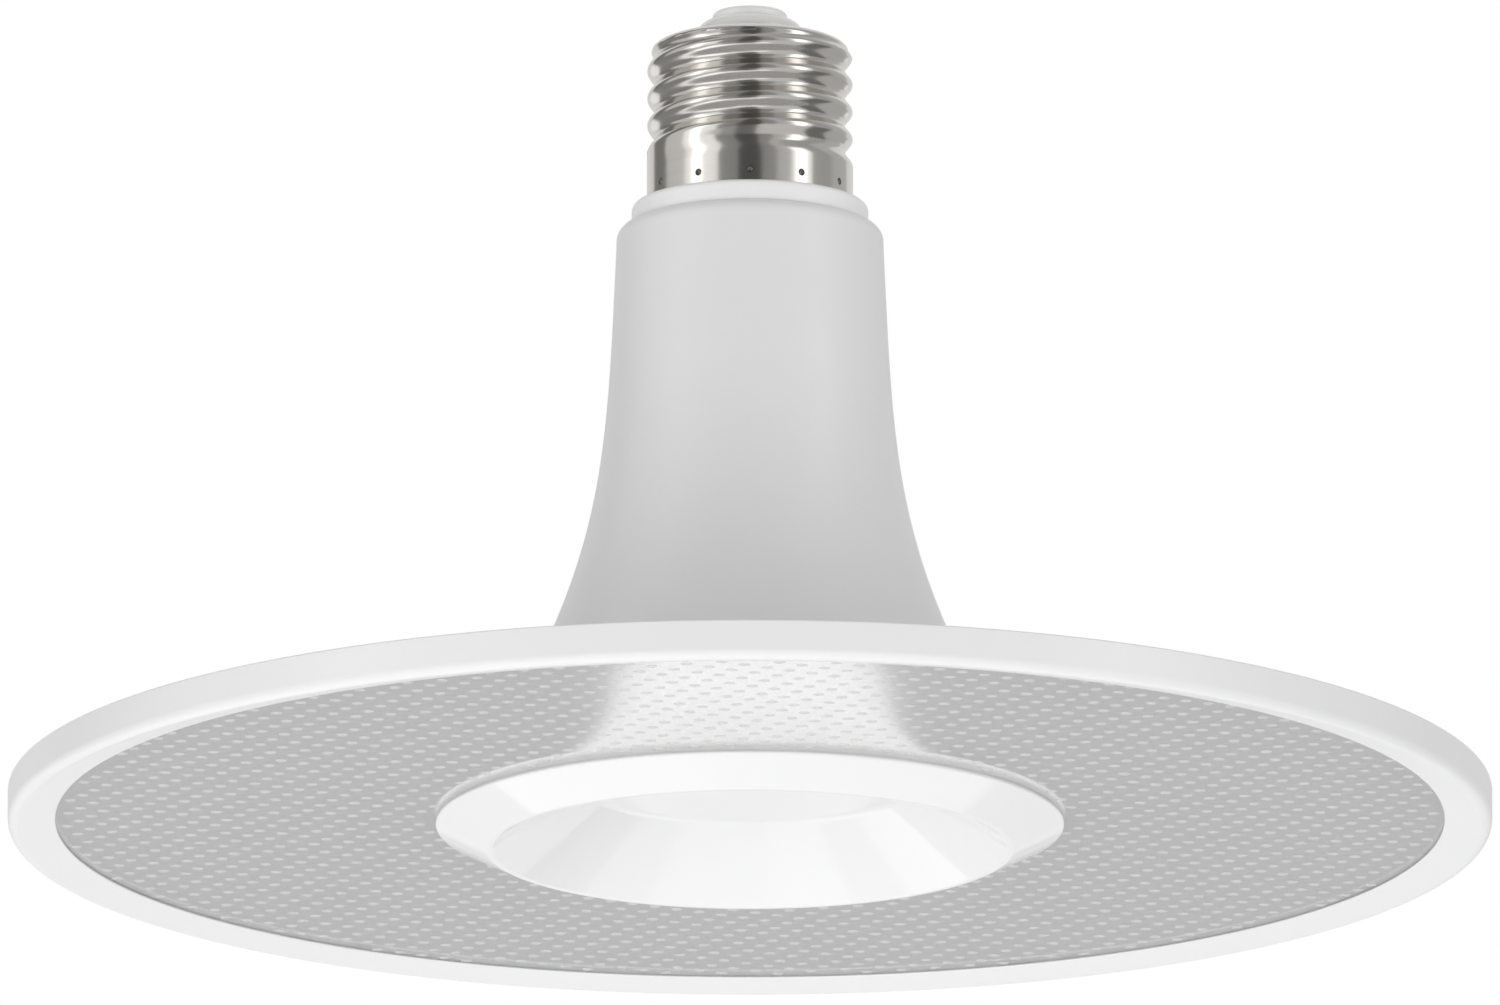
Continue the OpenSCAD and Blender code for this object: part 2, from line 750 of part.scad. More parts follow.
// Clear panel that carries the light outwards
module light_guide() {
    color("lightgray", 0.6)
        translate([0, 0, panel_z])
            difference() {
                cylinder(r = panel_r, h = panel_t);
                translate([0, 0, -bite])
                    cylinder(r = panel_bore_r, h = panel_t + 2 * bite);
            }
}

// Level and depth of the snap bead between the two halves of the disc's edge
bead_z = panel_top - 0.9;
bead_d = 0.25;

// Outer ring: wall, sloping underside and the lip that carries the panel
module outer_ring() {
    slope_a = atan(ring_rise / (ring_face_w - ring_edge_r));
    color("white")
        rotate_extrude($fn = 180)
            polygon(concat(
                [[lip_r, panel_z], [lip_r, panel_z - ring_lip_t]],
                arc(disc_r - ring_edge_r, ring_low + ring_edge_r, ring_edge_r, 270 - slope_a, 360, 6),
                [[disc_r, ring_top], [ring_in_r, ring_top], [ring_in_r, bead_z + 2 * bead_d],
                 [ring_in_r + bead_d, bead_z], [ring_in_r, bead_z - 2 * bead_d], [ring_in_r, panel_z]]));
}

// Back ring: flange over the panel and a leg that snaps into the outer ring
module back_ring() {
    color("white")
        rotate_extrude($fn = 180)
            polygon([[lip_r, panel_top], [leg_r - back_leg_t, panel_top],
                     [leg_r - back_leg_t, panel_z + fit_gap], [leg_r, panel_z + fit_gap],
                     [leg_r, bead_z - 2 * bead_d], [leg_r + bead_d, bead_z], [leg_r, bead_z + 2 * bead_d],
                     [leg_r, ring_top], [lip_r, ring_top]]);
}

// Hub cover: bevelled rim, conical dish and three hooks
module hub_cover() {
    pocket_r = panel_bore_r + fit_gap;
    seat_in_r = pocket_r + 0.3;
    valley_r = rim_in_r - (pocket_z - cone_rise) / tan(dish_a);
    roof_z = dish_h + cover_t;
    roof_r = rim_in_r - (roof_z - cone_rise) / tan(dish_a);
    hook_in = hook_r - hook_t / 2;
    hook_top = plate_top + fit_gap + barb_h;
    color("white") {
        rotate_extrude($fn = 180)
            polygon(concat(
                [[0, dish_h]],
                arc(floor_r - fillet_run, dish_h - dish_fillet_r, dish_fillet_r, 90, 90 - dish_a, 5),
                [[rim_in_r, 0], [rim_out_r, 0], [hub_r, bevel_h], [hub_r, bevel_h + hub_edge_h],
                 [seat_in_r + seat_w, bevel_h + hub_edge_h], [seat_in_r + seat_w, panel_z],
                 [seat_in_r, panel_z], [pocket_r - fit_gap, pocket_z], [valley_r, pocket_z],
                 [roof_r, roof_z], [0, roof_z]]));
        round_hub(hook_turn, 0)
            translate([0, hook_w / 2, 0])
                rotate([90, 0, 0])
                    linear_extrude(hook_w)
                        polygon([[hook_in, cone_top(hook_in) - bite],
                                 [hook_in + hook_t, cone_top(hook_in + hook_t) - bite],
                                 [hook_in + hook_t, plate_top + fit_gap],
                                 [hook_in + hook_t + barb_out, plate_top + fit_gap],
                                 [hook_in + hook_t, hook_top], [hook_in, hook_top]]);
    }
}

cap_shell();
centre_contact();
cap_insulator();
live_lead();
neutral_lead();
neck_sleeve();
housing();
driver_board();
film_capacitor();
line_choke();
fusible_resistor();
bridge_rectifier();
bulk_capacitor();
driver_chip();
transformer();
output_capacitor();
positive_lead();
negative_lead();
led_carrier();
carrier_screws();
led_strip();
led_chips();
light_guide();
outer_ring();
back_ring();
hub_cover();
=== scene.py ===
"""LED disc lamp: a screw cap, a flared housing and an edge-lit disc round a dished hub.

The packed model is the frame. Every visible piece is modelled in its place with Blender's own
operators, and the pieces inside keep their CAD shape and get a finish.
"""

from math import atan2, ceil, cos, degrees, floor, hypot, pi, radians, sin, tan

import bpy
from bpy.props import FloatProperty, FloatVectorProperty, IntProperty, PointerProperty
from bpy.types import Operator, Panel, PropertyGroup
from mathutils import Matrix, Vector


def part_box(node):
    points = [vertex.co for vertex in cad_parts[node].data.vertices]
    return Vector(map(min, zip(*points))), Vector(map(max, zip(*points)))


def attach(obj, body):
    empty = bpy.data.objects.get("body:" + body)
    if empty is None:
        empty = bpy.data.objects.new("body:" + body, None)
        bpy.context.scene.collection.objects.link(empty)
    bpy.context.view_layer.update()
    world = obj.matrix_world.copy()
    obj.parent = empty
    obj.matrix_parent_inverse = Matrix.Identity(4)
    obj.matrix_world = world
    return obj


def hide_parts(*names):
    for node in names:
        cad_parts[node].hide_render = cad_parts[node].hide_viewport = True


bl_info = {
    "name": "LED Disc Lamp",
    "version": (1, 0, 0),
    "blender": (4, 5, 0),
    "location": "View3D > Sidebar > Lamp",
    "description": "Models a screw-cap lamp with a flat edge-lit disc, piece by piece",
    "category": "Object",
}

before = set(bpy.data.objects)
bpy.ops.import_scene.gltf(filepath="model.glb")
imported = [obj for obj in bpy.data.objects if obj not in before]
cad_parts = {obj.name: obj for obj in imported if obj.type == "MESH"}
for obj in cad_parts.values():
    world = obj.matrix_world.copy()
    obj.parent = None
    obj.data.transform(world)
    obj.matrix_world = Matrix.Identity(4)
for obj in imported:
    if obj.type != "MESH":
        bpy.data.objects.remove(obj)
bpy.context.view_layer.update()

MM = 0.001
TURN = 2 * pi


def low(node):
    """Lowest height of a CAD node."""
    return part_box(node)[0][2]


def top(node):
    """Greatest height of a CAD node."""
    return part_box(node)[1][2]


def reach(node):
    """Radius of a CAD node round the lamp's axis."""
    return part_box(node)[1][0]


PANEL_LOW, PANEL_TOP = low("light_guide"), top("light_guide")
PANEL_RADIUS = reach("light_guide")
DISC_RADIUS, RING_LOW, RING_TOP = reach("outer_ring"), low("outer_ring"), top("outer_ring")
HUB_RADIUS = reach("hub_cover")
NECK_TOP = top("housing")
COLLAR_RADIUS = reach("neck_sleeve")
SKIRT_LOW = low("cap_shell")
SHELL_TOP = top("cap_shell")
SKIRT_RADIUS = reach("cap_shell")
INSULATOR_TOP = top("cap_insulator")
CONTACT_TOP = top("centre_contact")


def length(name, description, value):
    """A size in metres, given in millimetres."""
    return FloatProperty(name=name, description=description, default=value * MM, min=0,
                         unit="LENGTH", precision=5)


def angle(name, description, value):
    """An angle, given in degrees."""
    return FloatProperty(name=name, description=description, default=radians(value), subtype="ANGLE")


def colour(name, description, value):
    """A linear surface colour."""
    return FloatVectorProperty(name=name, description=description, default=value, subtype="COLOR",
                               min=0, max=1)


def strength(name, description, value):
    """A plain level of light."""
    return FloatProperty(name=name, description=description, default=value, min=0)


class CapSizes(PropertyGroup):
    """Sizes of the screw cap."""
    skirt_height: length("Skirt Height", "Plain skirt under the thread", 5.5)
    thread_pitch: length("Thread Pitch", "Rise of the thread in one turn", 3.629)
    thread_depth: length("Thread Depth", "Depth of the rolled groove", 1.0)
    thread_height: length("Thread Height", "Height of the threaded stretch", 14.9)
    crest_height: length("Crest Height", "Height over the skirt where a crest passes the +X side", 3.3)
    run_out: length("Run Out", "Rise over which the first groove reaches its full depth", 1.5)
    wall: length("Wall", "Thickness of the nickel-plated shell", 0.35)
    crown_inset: length("Crown Inset", "Step in from the crest to the crown's edge", 0.55)
    crown_hole: length("Crown Hole Radius", "Radius of the hole that the insulator fills", 7.0)
    dents: IntProperty(name="Dents", description="Crimping dents round the skirt", default=12, min=3)
    dent_rise: length("Dent Rise", "Height of the dents over the skirt's lower edge", 1.7)
    dent_radius: length("Dent Radius", "Radius of the punch that makes a dent", 0.5)
    dent_depth: length("Dent Depth", "Depth of a dent", 0.33)
    crest_inset: length("Crest Inset", "Step in from the skirt to the thread's crests", 0.05)
    crown_blend: length("Crown Blend", "Height over which the thread ends under the crown", 1.0)
    fit: length("Fit", "Gap between the insulator and the metal round and in it", 0.05)
    flange_thickness: length("Flange Thickness", "Thickness of the insulator's flange", 0.9)
    slope_width: length("Slope Width", "Width of the slope between the flange and the dome", 2.6)
    slope_drop: length("Slope Drop", "Depth of the slope's outer edge under its inner one", 0.25)
    dome_start: length("Dome Start", "Height over the crown at which the insulator's dome starts", 0.3)
    shank_radius: length("Shank Radius", "Radius of the centre contact's shank", 1.9)
    contact_side: length("Contact Side", "Height of the contact's side", 0.55)
    contact_round: length("Contact Round", "Round of the contact's edge", 0.6)
    solder_rise: length("Solder Rise", "Rise of the solder on the contact", 0.06)


class HousingSizes(PropertyGroup):
    """Sizes of the flared housing and of the collar over it."""
    neck_radius: length("Neck Radius", "Radius of the housing under its shoulder", 17.15)
    shoulder: length("Shoulder Radius", "Round between the neck's side and its top", 2.0)
    wall: length("Wall", "Thickness of the housing's metal", 1.5)
    flare_start: angle("Flare Start", "Slope of the side just under the shoulder", 2.6)
    flare_end: angle("Flare End", "Slope of the side where it meets the foot's round", 29.5)
    top_pull: length("Upper Pull", "Length of the flare's upper handle", 29.3)
    foot_pull: length("Lower Pull", "Length of the flare's lower handle", 31.3)
    foot_round: length("Foot Round", "Round between the flare and the foot's flange", 6.3)
    foot_thickness: length("Foot Thickness", "Thickness of the foot's flange", 1.3)
    foot_flat: length("Foot Flat", "Flat width at the edge of the flange", 0.8)
    grip_height: length("Grip Height", "Height of the bore that holds the sleeve", 8.0)
    foot_edge: length("Foot Edge", "Round of the flange's upper edge", 0.25)
    shoulder_land: length("Shoulder Land", "Straight stretch between the shoulder and the flare", 0.6)
    carrier_seat: length("Carrier Seat", "Width of the seat on the LED carrier's edge", 1.05)
    sleeve_radius: length("Sleeve Radius", "Radius of the sleeve inside the housing", 14.6)
    sleeve_wall: length("Sleeve Wall", "Thickness of the sleeve", 1.3)
    sleeve_fit: length("Sleeve Fit", "Gap between the sleeve and the bore that holds it", 0.2)
    plug_fit: length("Plug Fit", "Gap between the sleeve's plug and the cap shell", 0.1)
    bore_slope: length("Bore Slope", "Height of the slope at which a bore changes its width", 0.4)
    collar_foot: length("Collar Foot", "Round of the collar's lower edge", 0.15)
    collar_round: length("Collar Round", "Round of the collar's upper edge", 0.8)


class DiscSizes(PropertyGroup):
    """Sizes of the disc's edge and of the pattern on its panel."""
    ring_wall: length("Ring Wall", "Thickness of the outer ring's side", 1.4)
    lip_width: length("Lip Width", "Width of the ring's underside", 6.1)
    lip_thickness: length("Lip Thickness", "Thickness of the lip that carries the panel", 0.3)
    edge_round: length("Edge Round", "Round of the ring's lower edge", 1.2)
    upper_round: length("Upper Round", "Round of the ring's upper edge", 0.25)
    snap_bead: length("Snap Bead", "Depth of the bead that joins the edge's two halves", 0.25)
    back_leg: length("Back Ring Leg", "Thickness of the back ring's leg", 0.8)
    bead_drop: length("Bead Drop", "Depth of the bead under the panel's upper face", 0.9)
    lip_bevel: length("Lip Bevel", "Bevel of the lip's inner edges", 0.1)
    back_round: length("Back Ring Round", "Round of the back ring's upper edges", 0.2)
    guide_gap: length("Guide Gap", "Gap between the LEDs and the panel's inner edge", 0.7)
    guide_bevel: length("Guide Bevel", "Bevel of the panel's edges", 0.12)
    dot_pitch: length("Dot Pitch", "Distance between the panel's light-extracting dots", 3.25)
    dot_radius: length("Dot Radius", "Radius of one dot", 0.8)
    dot_height: length("Dot Height", "Height of one dot over the panel", 0.09)
    dot_bite: length("Dot Bite", "Depth that a dot reaches into the panel", 0.02)
    dot_turn: angle("Dot Turn", "Turn of the dots' square lattice", 29.0)


class HubSizes(PropertyGroup):
    """Sizes of the dished hub cover."""
    rim_radius: length("Rim Radius", "Radius of the lowest rim", 33.35)
    rim_land: length("Rim Land", "Width of the flat land on the rim", 0.7)
    edge_height: length("Edge Height", "Height of the hub's upright edge", 0.4)
    bevel_height: length("Bevel Height", "Rise of the bevel from rim to edge", 3.2)
    dish_depth: length("Dish Depth", "Depth of the dish", 8.5)
    floor_radius: length("Floor Radius", "Radius of the dish's flat floor", 20.7)
    floor_round: length("Floor Round", "Round between the floor and the cone", 3.0)
    corner_round: length("Corner Round", "Small round on every edge of the cover", 0.18)
    wall: length("Wall", "Thickness of the cover", 1.5)
    pocket_radius: length("Pocket Radius", "Radius of the pocket's outer side, inside the bevel", 36.5)
    pocket_slope: length("Pocket Slope", "Width of the slope down into the pocket", 0.4)
    pocket_depth: length("Pocket Depth", "How much thinner the cover is under the pocket", 0.3)
    seat_width: length("Seat Width", "Width from the pocket to the outer edge of the panel's seat", 3.4)


class FinishColours(PropertyGroup):
    """Colours of the visible finishes."""
    lacquer: colour("Housing Lacquer", "White lacquer of the housing", (0.815, 0.815, 0.818))
    gloss: colour("White Gloss", "Glossy white of the hub cover and the ring", (0.84, 0.84, 0.842))
    collar: colour("Collar", "Plastic of the collar", (0.90, 0.90, 0.902))
    nickel: colour("Nickel", "Plating of the cap", (0.77, 0.748, 0.705))
    insulator: colour("Insulator", "White insulator of the cap", (0.90, 0.90, 0.89))
    panel: colour("Panel", "See-through light guide", (0.93, 0.93, 0.93))
    dots: colour("Dots", "Printed dots on the light guide", (0.90, 0.90, 0.905))
    contact: colour("Contact", "Metal of the centre contact", (0.95, 0.95, 0.945))
    # Painted glow: an emission colour that the housing shows only through the panel.
    painted_glow: colour("Painted Glow", "Painted glow on the housing where the panel shows it",
                     (0.37, 0.37, 0.37))


class StageSettings(PropertyGroup):
    """Camera, lamps and background."""
    lens: FloatProperty(name="Lens", description="Focal length in millimetres", default=1080, min=50)
    view_width: length("View Width", "Width that the camera frames at the lamp's axis", 192.3)
    look_up: angle("Look Up", "Angle at which the camera looks up at the lamp", 13.6)
    aim: length("Aim Height", "Height that the middle of the picture shows", 45.7)
    ambient: strength("Ambient", "Level of the soft light from all round", 0.5)
    panel_backdrop: strength("Panel Backdrop", "Tone of the background seen through the panel", 0.17)


def deselect():
    """Leaves nothing selected."""
    bpy.ops.object.select_all(action="DESELECT")


def arc(r, z, radius, start, end, steps=6):
    """Points of an arc in the half section, from one angle to another in degrees."""
    turns = [radians(start + (end - start) * i / steps) for i in range(steps + 1)]
    return [(r + radius * cos(a), z + radius * sin(a)) for a in turns]


def rounded(points, radius, steps=3, most=0.45):
    """Half section with rounded corners, each over at most a share of its sides; the two ends stay."""
    out = [points[0]]
    for before, here, after in zip(points, points[1:], points[2:]):
        here = Vector(here)
        to_before, to_after = Vector(before) - here, Vector(after) - here
        start = here + to_before.normalized() * min(radius, to_before.length * most)
        end = here + to_after.normalized() * min(radius, to_after.length * most)
        for i in range(steps + 1):
            t = i / steps
            out.append(tuple((1 - t) ** 2 * start + 2 * t * (1 - t) * here + t * t * end))
    out.append(points[-1])
    return out


def draw_section(points):
    """Draws a half section in the XZ plane, one extruded vertex after another, and stays in edit mode."""
    deselect()
    here = Vector((points[0][0], 0, points[0][1]))
    bpy.ops.mesh.primitive_plane_add(size=MM, enter_editmode=True, location=here)
    bpy.ops.mesh.merge(type="CENTER")
    for r, z in points[1:]:
        there = Vector((r, 0, z))
        bpy.ops.mesh.extrude_region_move(TRANSFORM_OT_translate={"value": there - here})
        here = there


def face_outward():
    """Turns every face outward and leaves edit mode."""
    bpy.ops.mesh.select_all(action="SELECT")
    bpy.ops.mesh.normals_make_consistent(inside=False)
    bpy.ops.object.mode_set(mode="OBJECT")


def turn(points, steps):
    """Turns a half section about the lamp's axis and closes it, as on a lathe."""
    draw_section(points)
    bpy.ops.mesh.select_all(action="SELECT")
    bpy.ops.mesh.spin(steps=steps, angle=TURN, center=(0, 0, 0), axis=(0, 0, 1))
    bpy.ops.mesh.select_all(action="SELECT")
    bpy.ops.mesh.remove_doubles(threshold=0.002 * MM)
    face_outward()
    return bpy.context.object


def select_points(piece, test):
    """Selects the vertices that pass a test and stays in edit mode."""
    bpy.ops.object.mode_set(mode="OBJECT")
    for part in (piece.data.polygons, piece.data.edges, piece.data.vertices):
        part.foreach_set("select", [False] * len(part))
    for vertex in piece.data.vertices:
        vertex.select = test(vertex)
    bpy.ops.object.mode_set(mode="EDIT")
    bpy.ops.mesh.select_mode(type="VERT")


def use_modifier(piece, kind, **settings):
    """Adds one modifier with its settings and applies it."""
    modifier = piece.modifiers.new(kind.title(), kind)
    for name, value in settings.items():
        setattr(modifier, name, value)
    bpy.context.view_layer.objects.active = piece
    bpy.ops.object.modifier_apply(modifier=modifier.name)


def keep(piece, name, finish, node=None, crease=35, flat=True):
    """Names, shades and finishes a piece, lets it ride on the lamp and puts it in its node's place."""
    deselect()
    piece.select_set(True)
    bpy.context.view_layer.objects.active = piece
    bpy.ops.object.transform_apply(location=True, rotation=True, scale=True)
    bpy.ops.object.shade_smooth_by_angle(angle=radians(crease))
    if flat:
        use_modifier(piece, "WEIGHTED_NORMAL", keep_sharp=True, weight=100)
    piece.name = piece.data.name = name
    piece.data.materials.clear()
    piece.data.materials.append(finish)
    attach(piece, "root")
    if node:
        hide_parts(node)


# Finishes

def new_group(name, inputs, outputs):
    """Starts a shader node group with named sockets."""
    group = bpy.data.node_groups.new(name, "ShaderNodeTree")
    for label, default in inputs:
        socket = group.interface.new_socket(label, in_out="INPUT", socket_type="NodeSocketFloat")
        socket.default_value = default
    for label in outputs:
        group.interface.new_socket(label, in_out="OUTPUT", socket_type="NodeSocketFloat")
    return group, group.nodes.new("NodeGroupInput"), group.nodes.new("NodeGroupOutput")


def math_node(nodes, links, operation, first, second):
    """One Math node between sockets or plain values."""
    node = nodes.new("ShaderNodeMath")
    node.operation = operation
    for socket, value in zip(node.inputs, (first, second)):
        if isinstance(value, (int, float)):
            socket.default_value = value
        else:
            links.new(value, socket)
    return node.outputs[0]


def noise_node(nodes, links, place, scale, detail):
    """One Noise texture at a place and scale."""
    node = nodes.new("ShaderNodeTexNoise")
    node.inputs["Detail"].default_value = detail
    if isinstance(scale, (int, float)):
        node.inputs["Scale"].default_value = scale
    else:
        links.new(scale, node.inputs["Scale"])
    links.new(place, node.inputs["Vector"])
    return node.outputs["Fac"]


def surface_group():
    """Fine grain, slow waviness and handling marks that moulded, lacquered and plated surfaces share."""
    name = "Surface Character"
    if name in bpy.data.node_groups:
        return bpy.data.node_groups[name]
    group, entry, output = new_group(
        name,
        [("Grain Scale", 2500.0), ("Grain", 0.3), ("Waviness", 0.2), ("Roughness", 0.3), ("Marks", 0.05)],
        ["Height", "Roughness", "Tint"])
    nodes, links = group.nodes, group.links
    place = nodes.new("ShaderNodeTexCoord").outputs["Object"]
    grain = noise_node(nodes, links, place, entry.outputs["Grain Scale"], 2.0)
    slow = noise_node(nodes, links, place, 55.0, 2.0)
    smudge = noise_node(nodes, links, place, 160.0, 4.0)
    fine = math_node(nodes, links, "MULTIPLY", grain, entry.outputs["Grain"])
    wavy = math_node(nodes, links, "MULTIPLY", slow, entry.outputs["Waviness"])
    links.new(math_node(nodes, links, "ADD", fine, wavy), output.inputs["Height"])
    centred = math_node(nodes, links, "SUBTRACT", smudge, 0.5)
    spread = math_node(nodes, links, "MULTIPLY", centred, entry.outputs["Marks"])
    rough = math_node(nodes, links, "ADD", spread, entry.outputs["Roughness"])
    links.new(rough, output.inputs["Roughness"])
    links.new(math_node(nodes, links, "MULTIPLY", smudge, slow), output.inputs["Tint"])
    return group


def start_material(name):
    """A new node material with its Principled shader."""
    material = bpy.data.materials.new(name)
    material.use_nodes = True
    tree = material.node_tree
    return material, tree.nodes, tree.links, tree.nodes["Principled BSDF"]


def character(nodes, links, shader, depth, **values):
    """Places the shared surface group in a material and feeds its bump and roughness."""
    group = nodes.new("ShaderNodeGroup")
    group.node_tree = surface_group()
    for label, value in values.items():
        group.inputs[label.replace("_", " ").title()].default_value = value
    bump = nodes.new("ShaderNodeBump")
    bump.inputs["Strength"].default_value = 1.0
    bump.inputs["Distance"].default_value = depth
    links.new(group.outputs["Height"], bump.inputs["Height"])
    links.new(bump.outputs["Normal"], shader.inputs["Normal"])
    links.new(group.outputs["Roughness"], shader.inputs["Roughness"])
    return group


def colour_mix(nodes, links, mask, first, second):
    """Mix of two colours by a mask."""
    mix = nodes.new("ShaderNodeMix")
    mix.data_type = "RGBA"
    mix.inputs["A"].default_value = (*first, 1)
    mix.inputs["B"].default_value = (*second, 1)
    links.new(mask, mix.inputs["Factor"])
    return mix.outputs["Result"]


def shader_mix(nodes, links, mask, first, second):
    """Mix of two shaders by a mask."""
    mix = nodes.new("ShaderNodeMixShader")
    for socket, output in zip(mix.inputs, (mask, first, second)):
        links.new(output, socket)
    return mix.outputs["Shader"]


def two_tone(nodes, links, shader, mask, light, dark):
    """Mixes two close colours by a mask into the base colour."""
    links.new(colour_mix(nodes, links, mask, light, dark), shader.inputs["Base Color"])


def shade_of(tone, factor):
    """A colour made darker or lighter by a factor."""
    return tuple(min(1.0, channel * factor) for channel in tone)


def coated(name, tone, roughness, grain, depth, coat=0.0, scale=2500.0):
    """Moulded plastic or lacquer with a fine grain and a slight unevenness of tone."""
    material, nodes, links, shader = start_material(name)
    shader.inputs["Coat Weight"].default_value = coat
    shader.inputs["Coat Roughness"].default_value = 0.08
    group = character(nodes, links, shader, depth, grain_scale=scale, grain=grain, waviness=0.15,
                      roughness=roughness, marks=0.06)
    two_tone(nodes, links, shader, group.outputs["Tint"], tone, shade_of(tone, 0.965))
    return material


def nickel(tone):
    """Nickel plating with faint rolling marks round the shell."""
    material, nodes, links, shader = start_material("Nickel Plating")
    shader.inputs["Metallic"].default_value = 1.0
    group = character(nodes, links, shader, 0.004 * MM, grain_scale=1800.0, grain=0.4, waviness=0.3,
                      roughness=0.17, marks=0.10)
    place = nodes.new("ShaderNodeTexCoord").outputs["Object"]
    stretch = nodes.new("ShaderNodeMapping")
    stretch.inputs["Scale"].default_value = (60, 60, 2600)
    links.new(place, stretch.inputs["Vector"])
    lines = noise_node(nodes, links, stretch.outputs["Vector"], 1.0, 3.0)
    streak = math_node(nodes, links, "MULTIPLY", lines, group.outputs["Tint"])
    two_tone(nodes, links, shader, streak, tone, shade_of(tone, 0.80))
    return material


def clear_panel(name, tone, ior):
    """Satin light guide that is seen through softly and lets the lamps' light pass."""
    material, nodes, links, shader = start_material(name)
    shader.inputs["Transmission Weight"].default_value = 0.82
    shader.inputs["IOR"].default_value = ior
    shader.inputs["Specular IOR Level"].default_value = 0.25
    group = character(nodes, links, shader, 0.001 * MM, grain_scale=900.0, grain=0.5, waviness=0.0,
                      roughness=0.2, marks=0.02)
    two_tone(nodes, links, shader, group.outputs["Tint"], tone, shade_of(tone, 0.97))
    passing = nodes.new("ShaderNodeBsdfTransparent")
    passing.inputs["Color"].default_value = (0.45, 0.45, 0.45, 1)
    shadow = nodes.new("ShaderNodeLightPath").outputs["Is Shadow Ray"]
    mixed = shader_mix(nodes, links, shadow, shader.outputs["BSDF"], passing.outputs["BSDF"])
    links.new(mixed, nodes["Material Output"].inputs["Surface"])
    return material


def printed_dot(tone):
    """Thin white print that lets part of the light through."""
    material, nodes, links, shader = start_material("Printed Dots")
    shader.inputs["Alpha"].default_value = 0.5
    group = character(nodes, links, shader, 0.01 * MM, grain_scale=3000.0, grain=0.5, waviness=0.1,
                      roughness=0.45, marks=0.1)
    two_tone(nodes, links, shader, group.outputs["Tint"], tone, shade_of(tone, 0.95))
    return material


def circuit_board(tone):
    """Solder mask with lighter copper tracks under it."""
    material, nodes, links, shader = start_material("Circuit Board")
    place = nodes.new("ShaderNodeTexCoord").outputs["Object"]
    tracks = nodes.new("ShaderNodeTexBrick")
    tracks.inputs["Scale"].default_value = 160.0
    tracks.inputs["Mortar Size"].default_value = 0.06
    turned = nodes.new("ShaderNodeMapping")
    turned.inputs["Rotation"].default_value = (radians(90), 0, 0)
    links.new(place, turned.inputs["Vector"])
    links.new(turned.outputs["Vector"], tracks.inputs["Vector"])
    character(nodes, links, shader, 0.02 * MM, grain_scale=1500.0, grain=0.4, waviness=0.1,
              roughness=0.35, marks=0.1)
    two_tone(nodes, links, shader, tracks.outputs["Fac"], tone, shade_of(tone, 1.9))
    return material


def wound(name, tone, ring_scale):
    """A winding or a ribbed surface: fine bands across the axis of its node."""
    material, nodes, links, shader = start_material(name)
    place = nodes.new("ShaderNodeTexCoord").outputs["Object"]
    bands = nodes.new("ShaderNodeTexWave")
    bands.bands_direction = "Z"
    bands.inputs["Scale"].default_value = ring_scale
    bands.inputs["Distortion"].default_value = 0.4
    links.new(place, bands.inputs["Vector"])
    character(nodes, links, shader, 0.02 * MM, grain_scale=1500.0, grain=0.5, waviness=0.1,
              roughness=0.4, marks=0.15)
    two_tone(nodes, links, shader, bands.outputs["Fac"], tone, shade_of(tone, 0.6))
    return material


def paint_glow_through_panel(material, tone):
    """Paints a glow on the housing where it is seen through the panel: an emission that only transmission
    rays see.
    """
    nodes, links = material.node_tree.nodes, material.node_tree.links
    shader = nodes["Principled BSDF"]
    through = nodes.new("ShaderNodeLightPath").outputs["Is Transmission Ray"]
    links.new(colour_mix(nodes, links, through, (0, 0, 0), tone), shader.inputs["Emission Color"])
    shader.inputs["Emission Strength"].default_value = 1.0
    return material


def metal(name, tone, roughness, grain=0.5, metallic=1.0):
    """Bare or plated metal with a fine grain."""
    material, nodes, links, shader = start_material(name)
    shader.inputs["Metallic"].default_value = metallic
    group = character(nodes, links, shader, 0.01 * MM, grain_scale=1400.0, grain=grain, waviness=0.1,
                      roughness=roughness, marks=0.12)
    two_tone(nodes, links, shader, group.outputs["Tint"], tone, shade_of(tone, 0.85))
    return material


def lead_plastic(name, tone):
    """Insulation of a lead."""
    return coated(name, tone, roughness=0.4, grain=0.2, depth=0.02 * MM)


def black_epoxy(name):
    """Rough moulded epoxy of a chip or a rectifier."""
    return coated(name, (0.03, 0.03, 0.032), roughness=0.5, grain=0.7, depth=0.03 * MM, scale=1200.0)


def can_sleeve(name):
    """Glossy dark blue sleeve of a capacitor's can."""
    return coated(name, (0.02, 0.03, 0.11), roughness=0.3, grain=0.2, depth=0.01 * MM, coat=0.4)


def empty_tree(holder):
    """Clears the nodes of a material or a world, and gives its nodes and links."""
    holder.use_nodes = True
    holder.node_tree.nodes.clear()
    return holder.node_tree.nodes, holder.node_tree.links


# Pieces

def unit(value):
    """A value held between 0 and 1."""
    return min(1, max(0, value))


def groove_height(cap, co):
    """Height over the skirt of the groove that a point belongs to."""
    turns = atan2(co.y, co.x) / TURN % 1.0
    crest = SKIRT_LOW + cap.skirt_height + cap.crest_height
    grooves = floor((co.z - crest) / cap.thread_pitch - turns) + 0.5 + turns
    return cap.crest_height + grooves * cap.thread_pitch


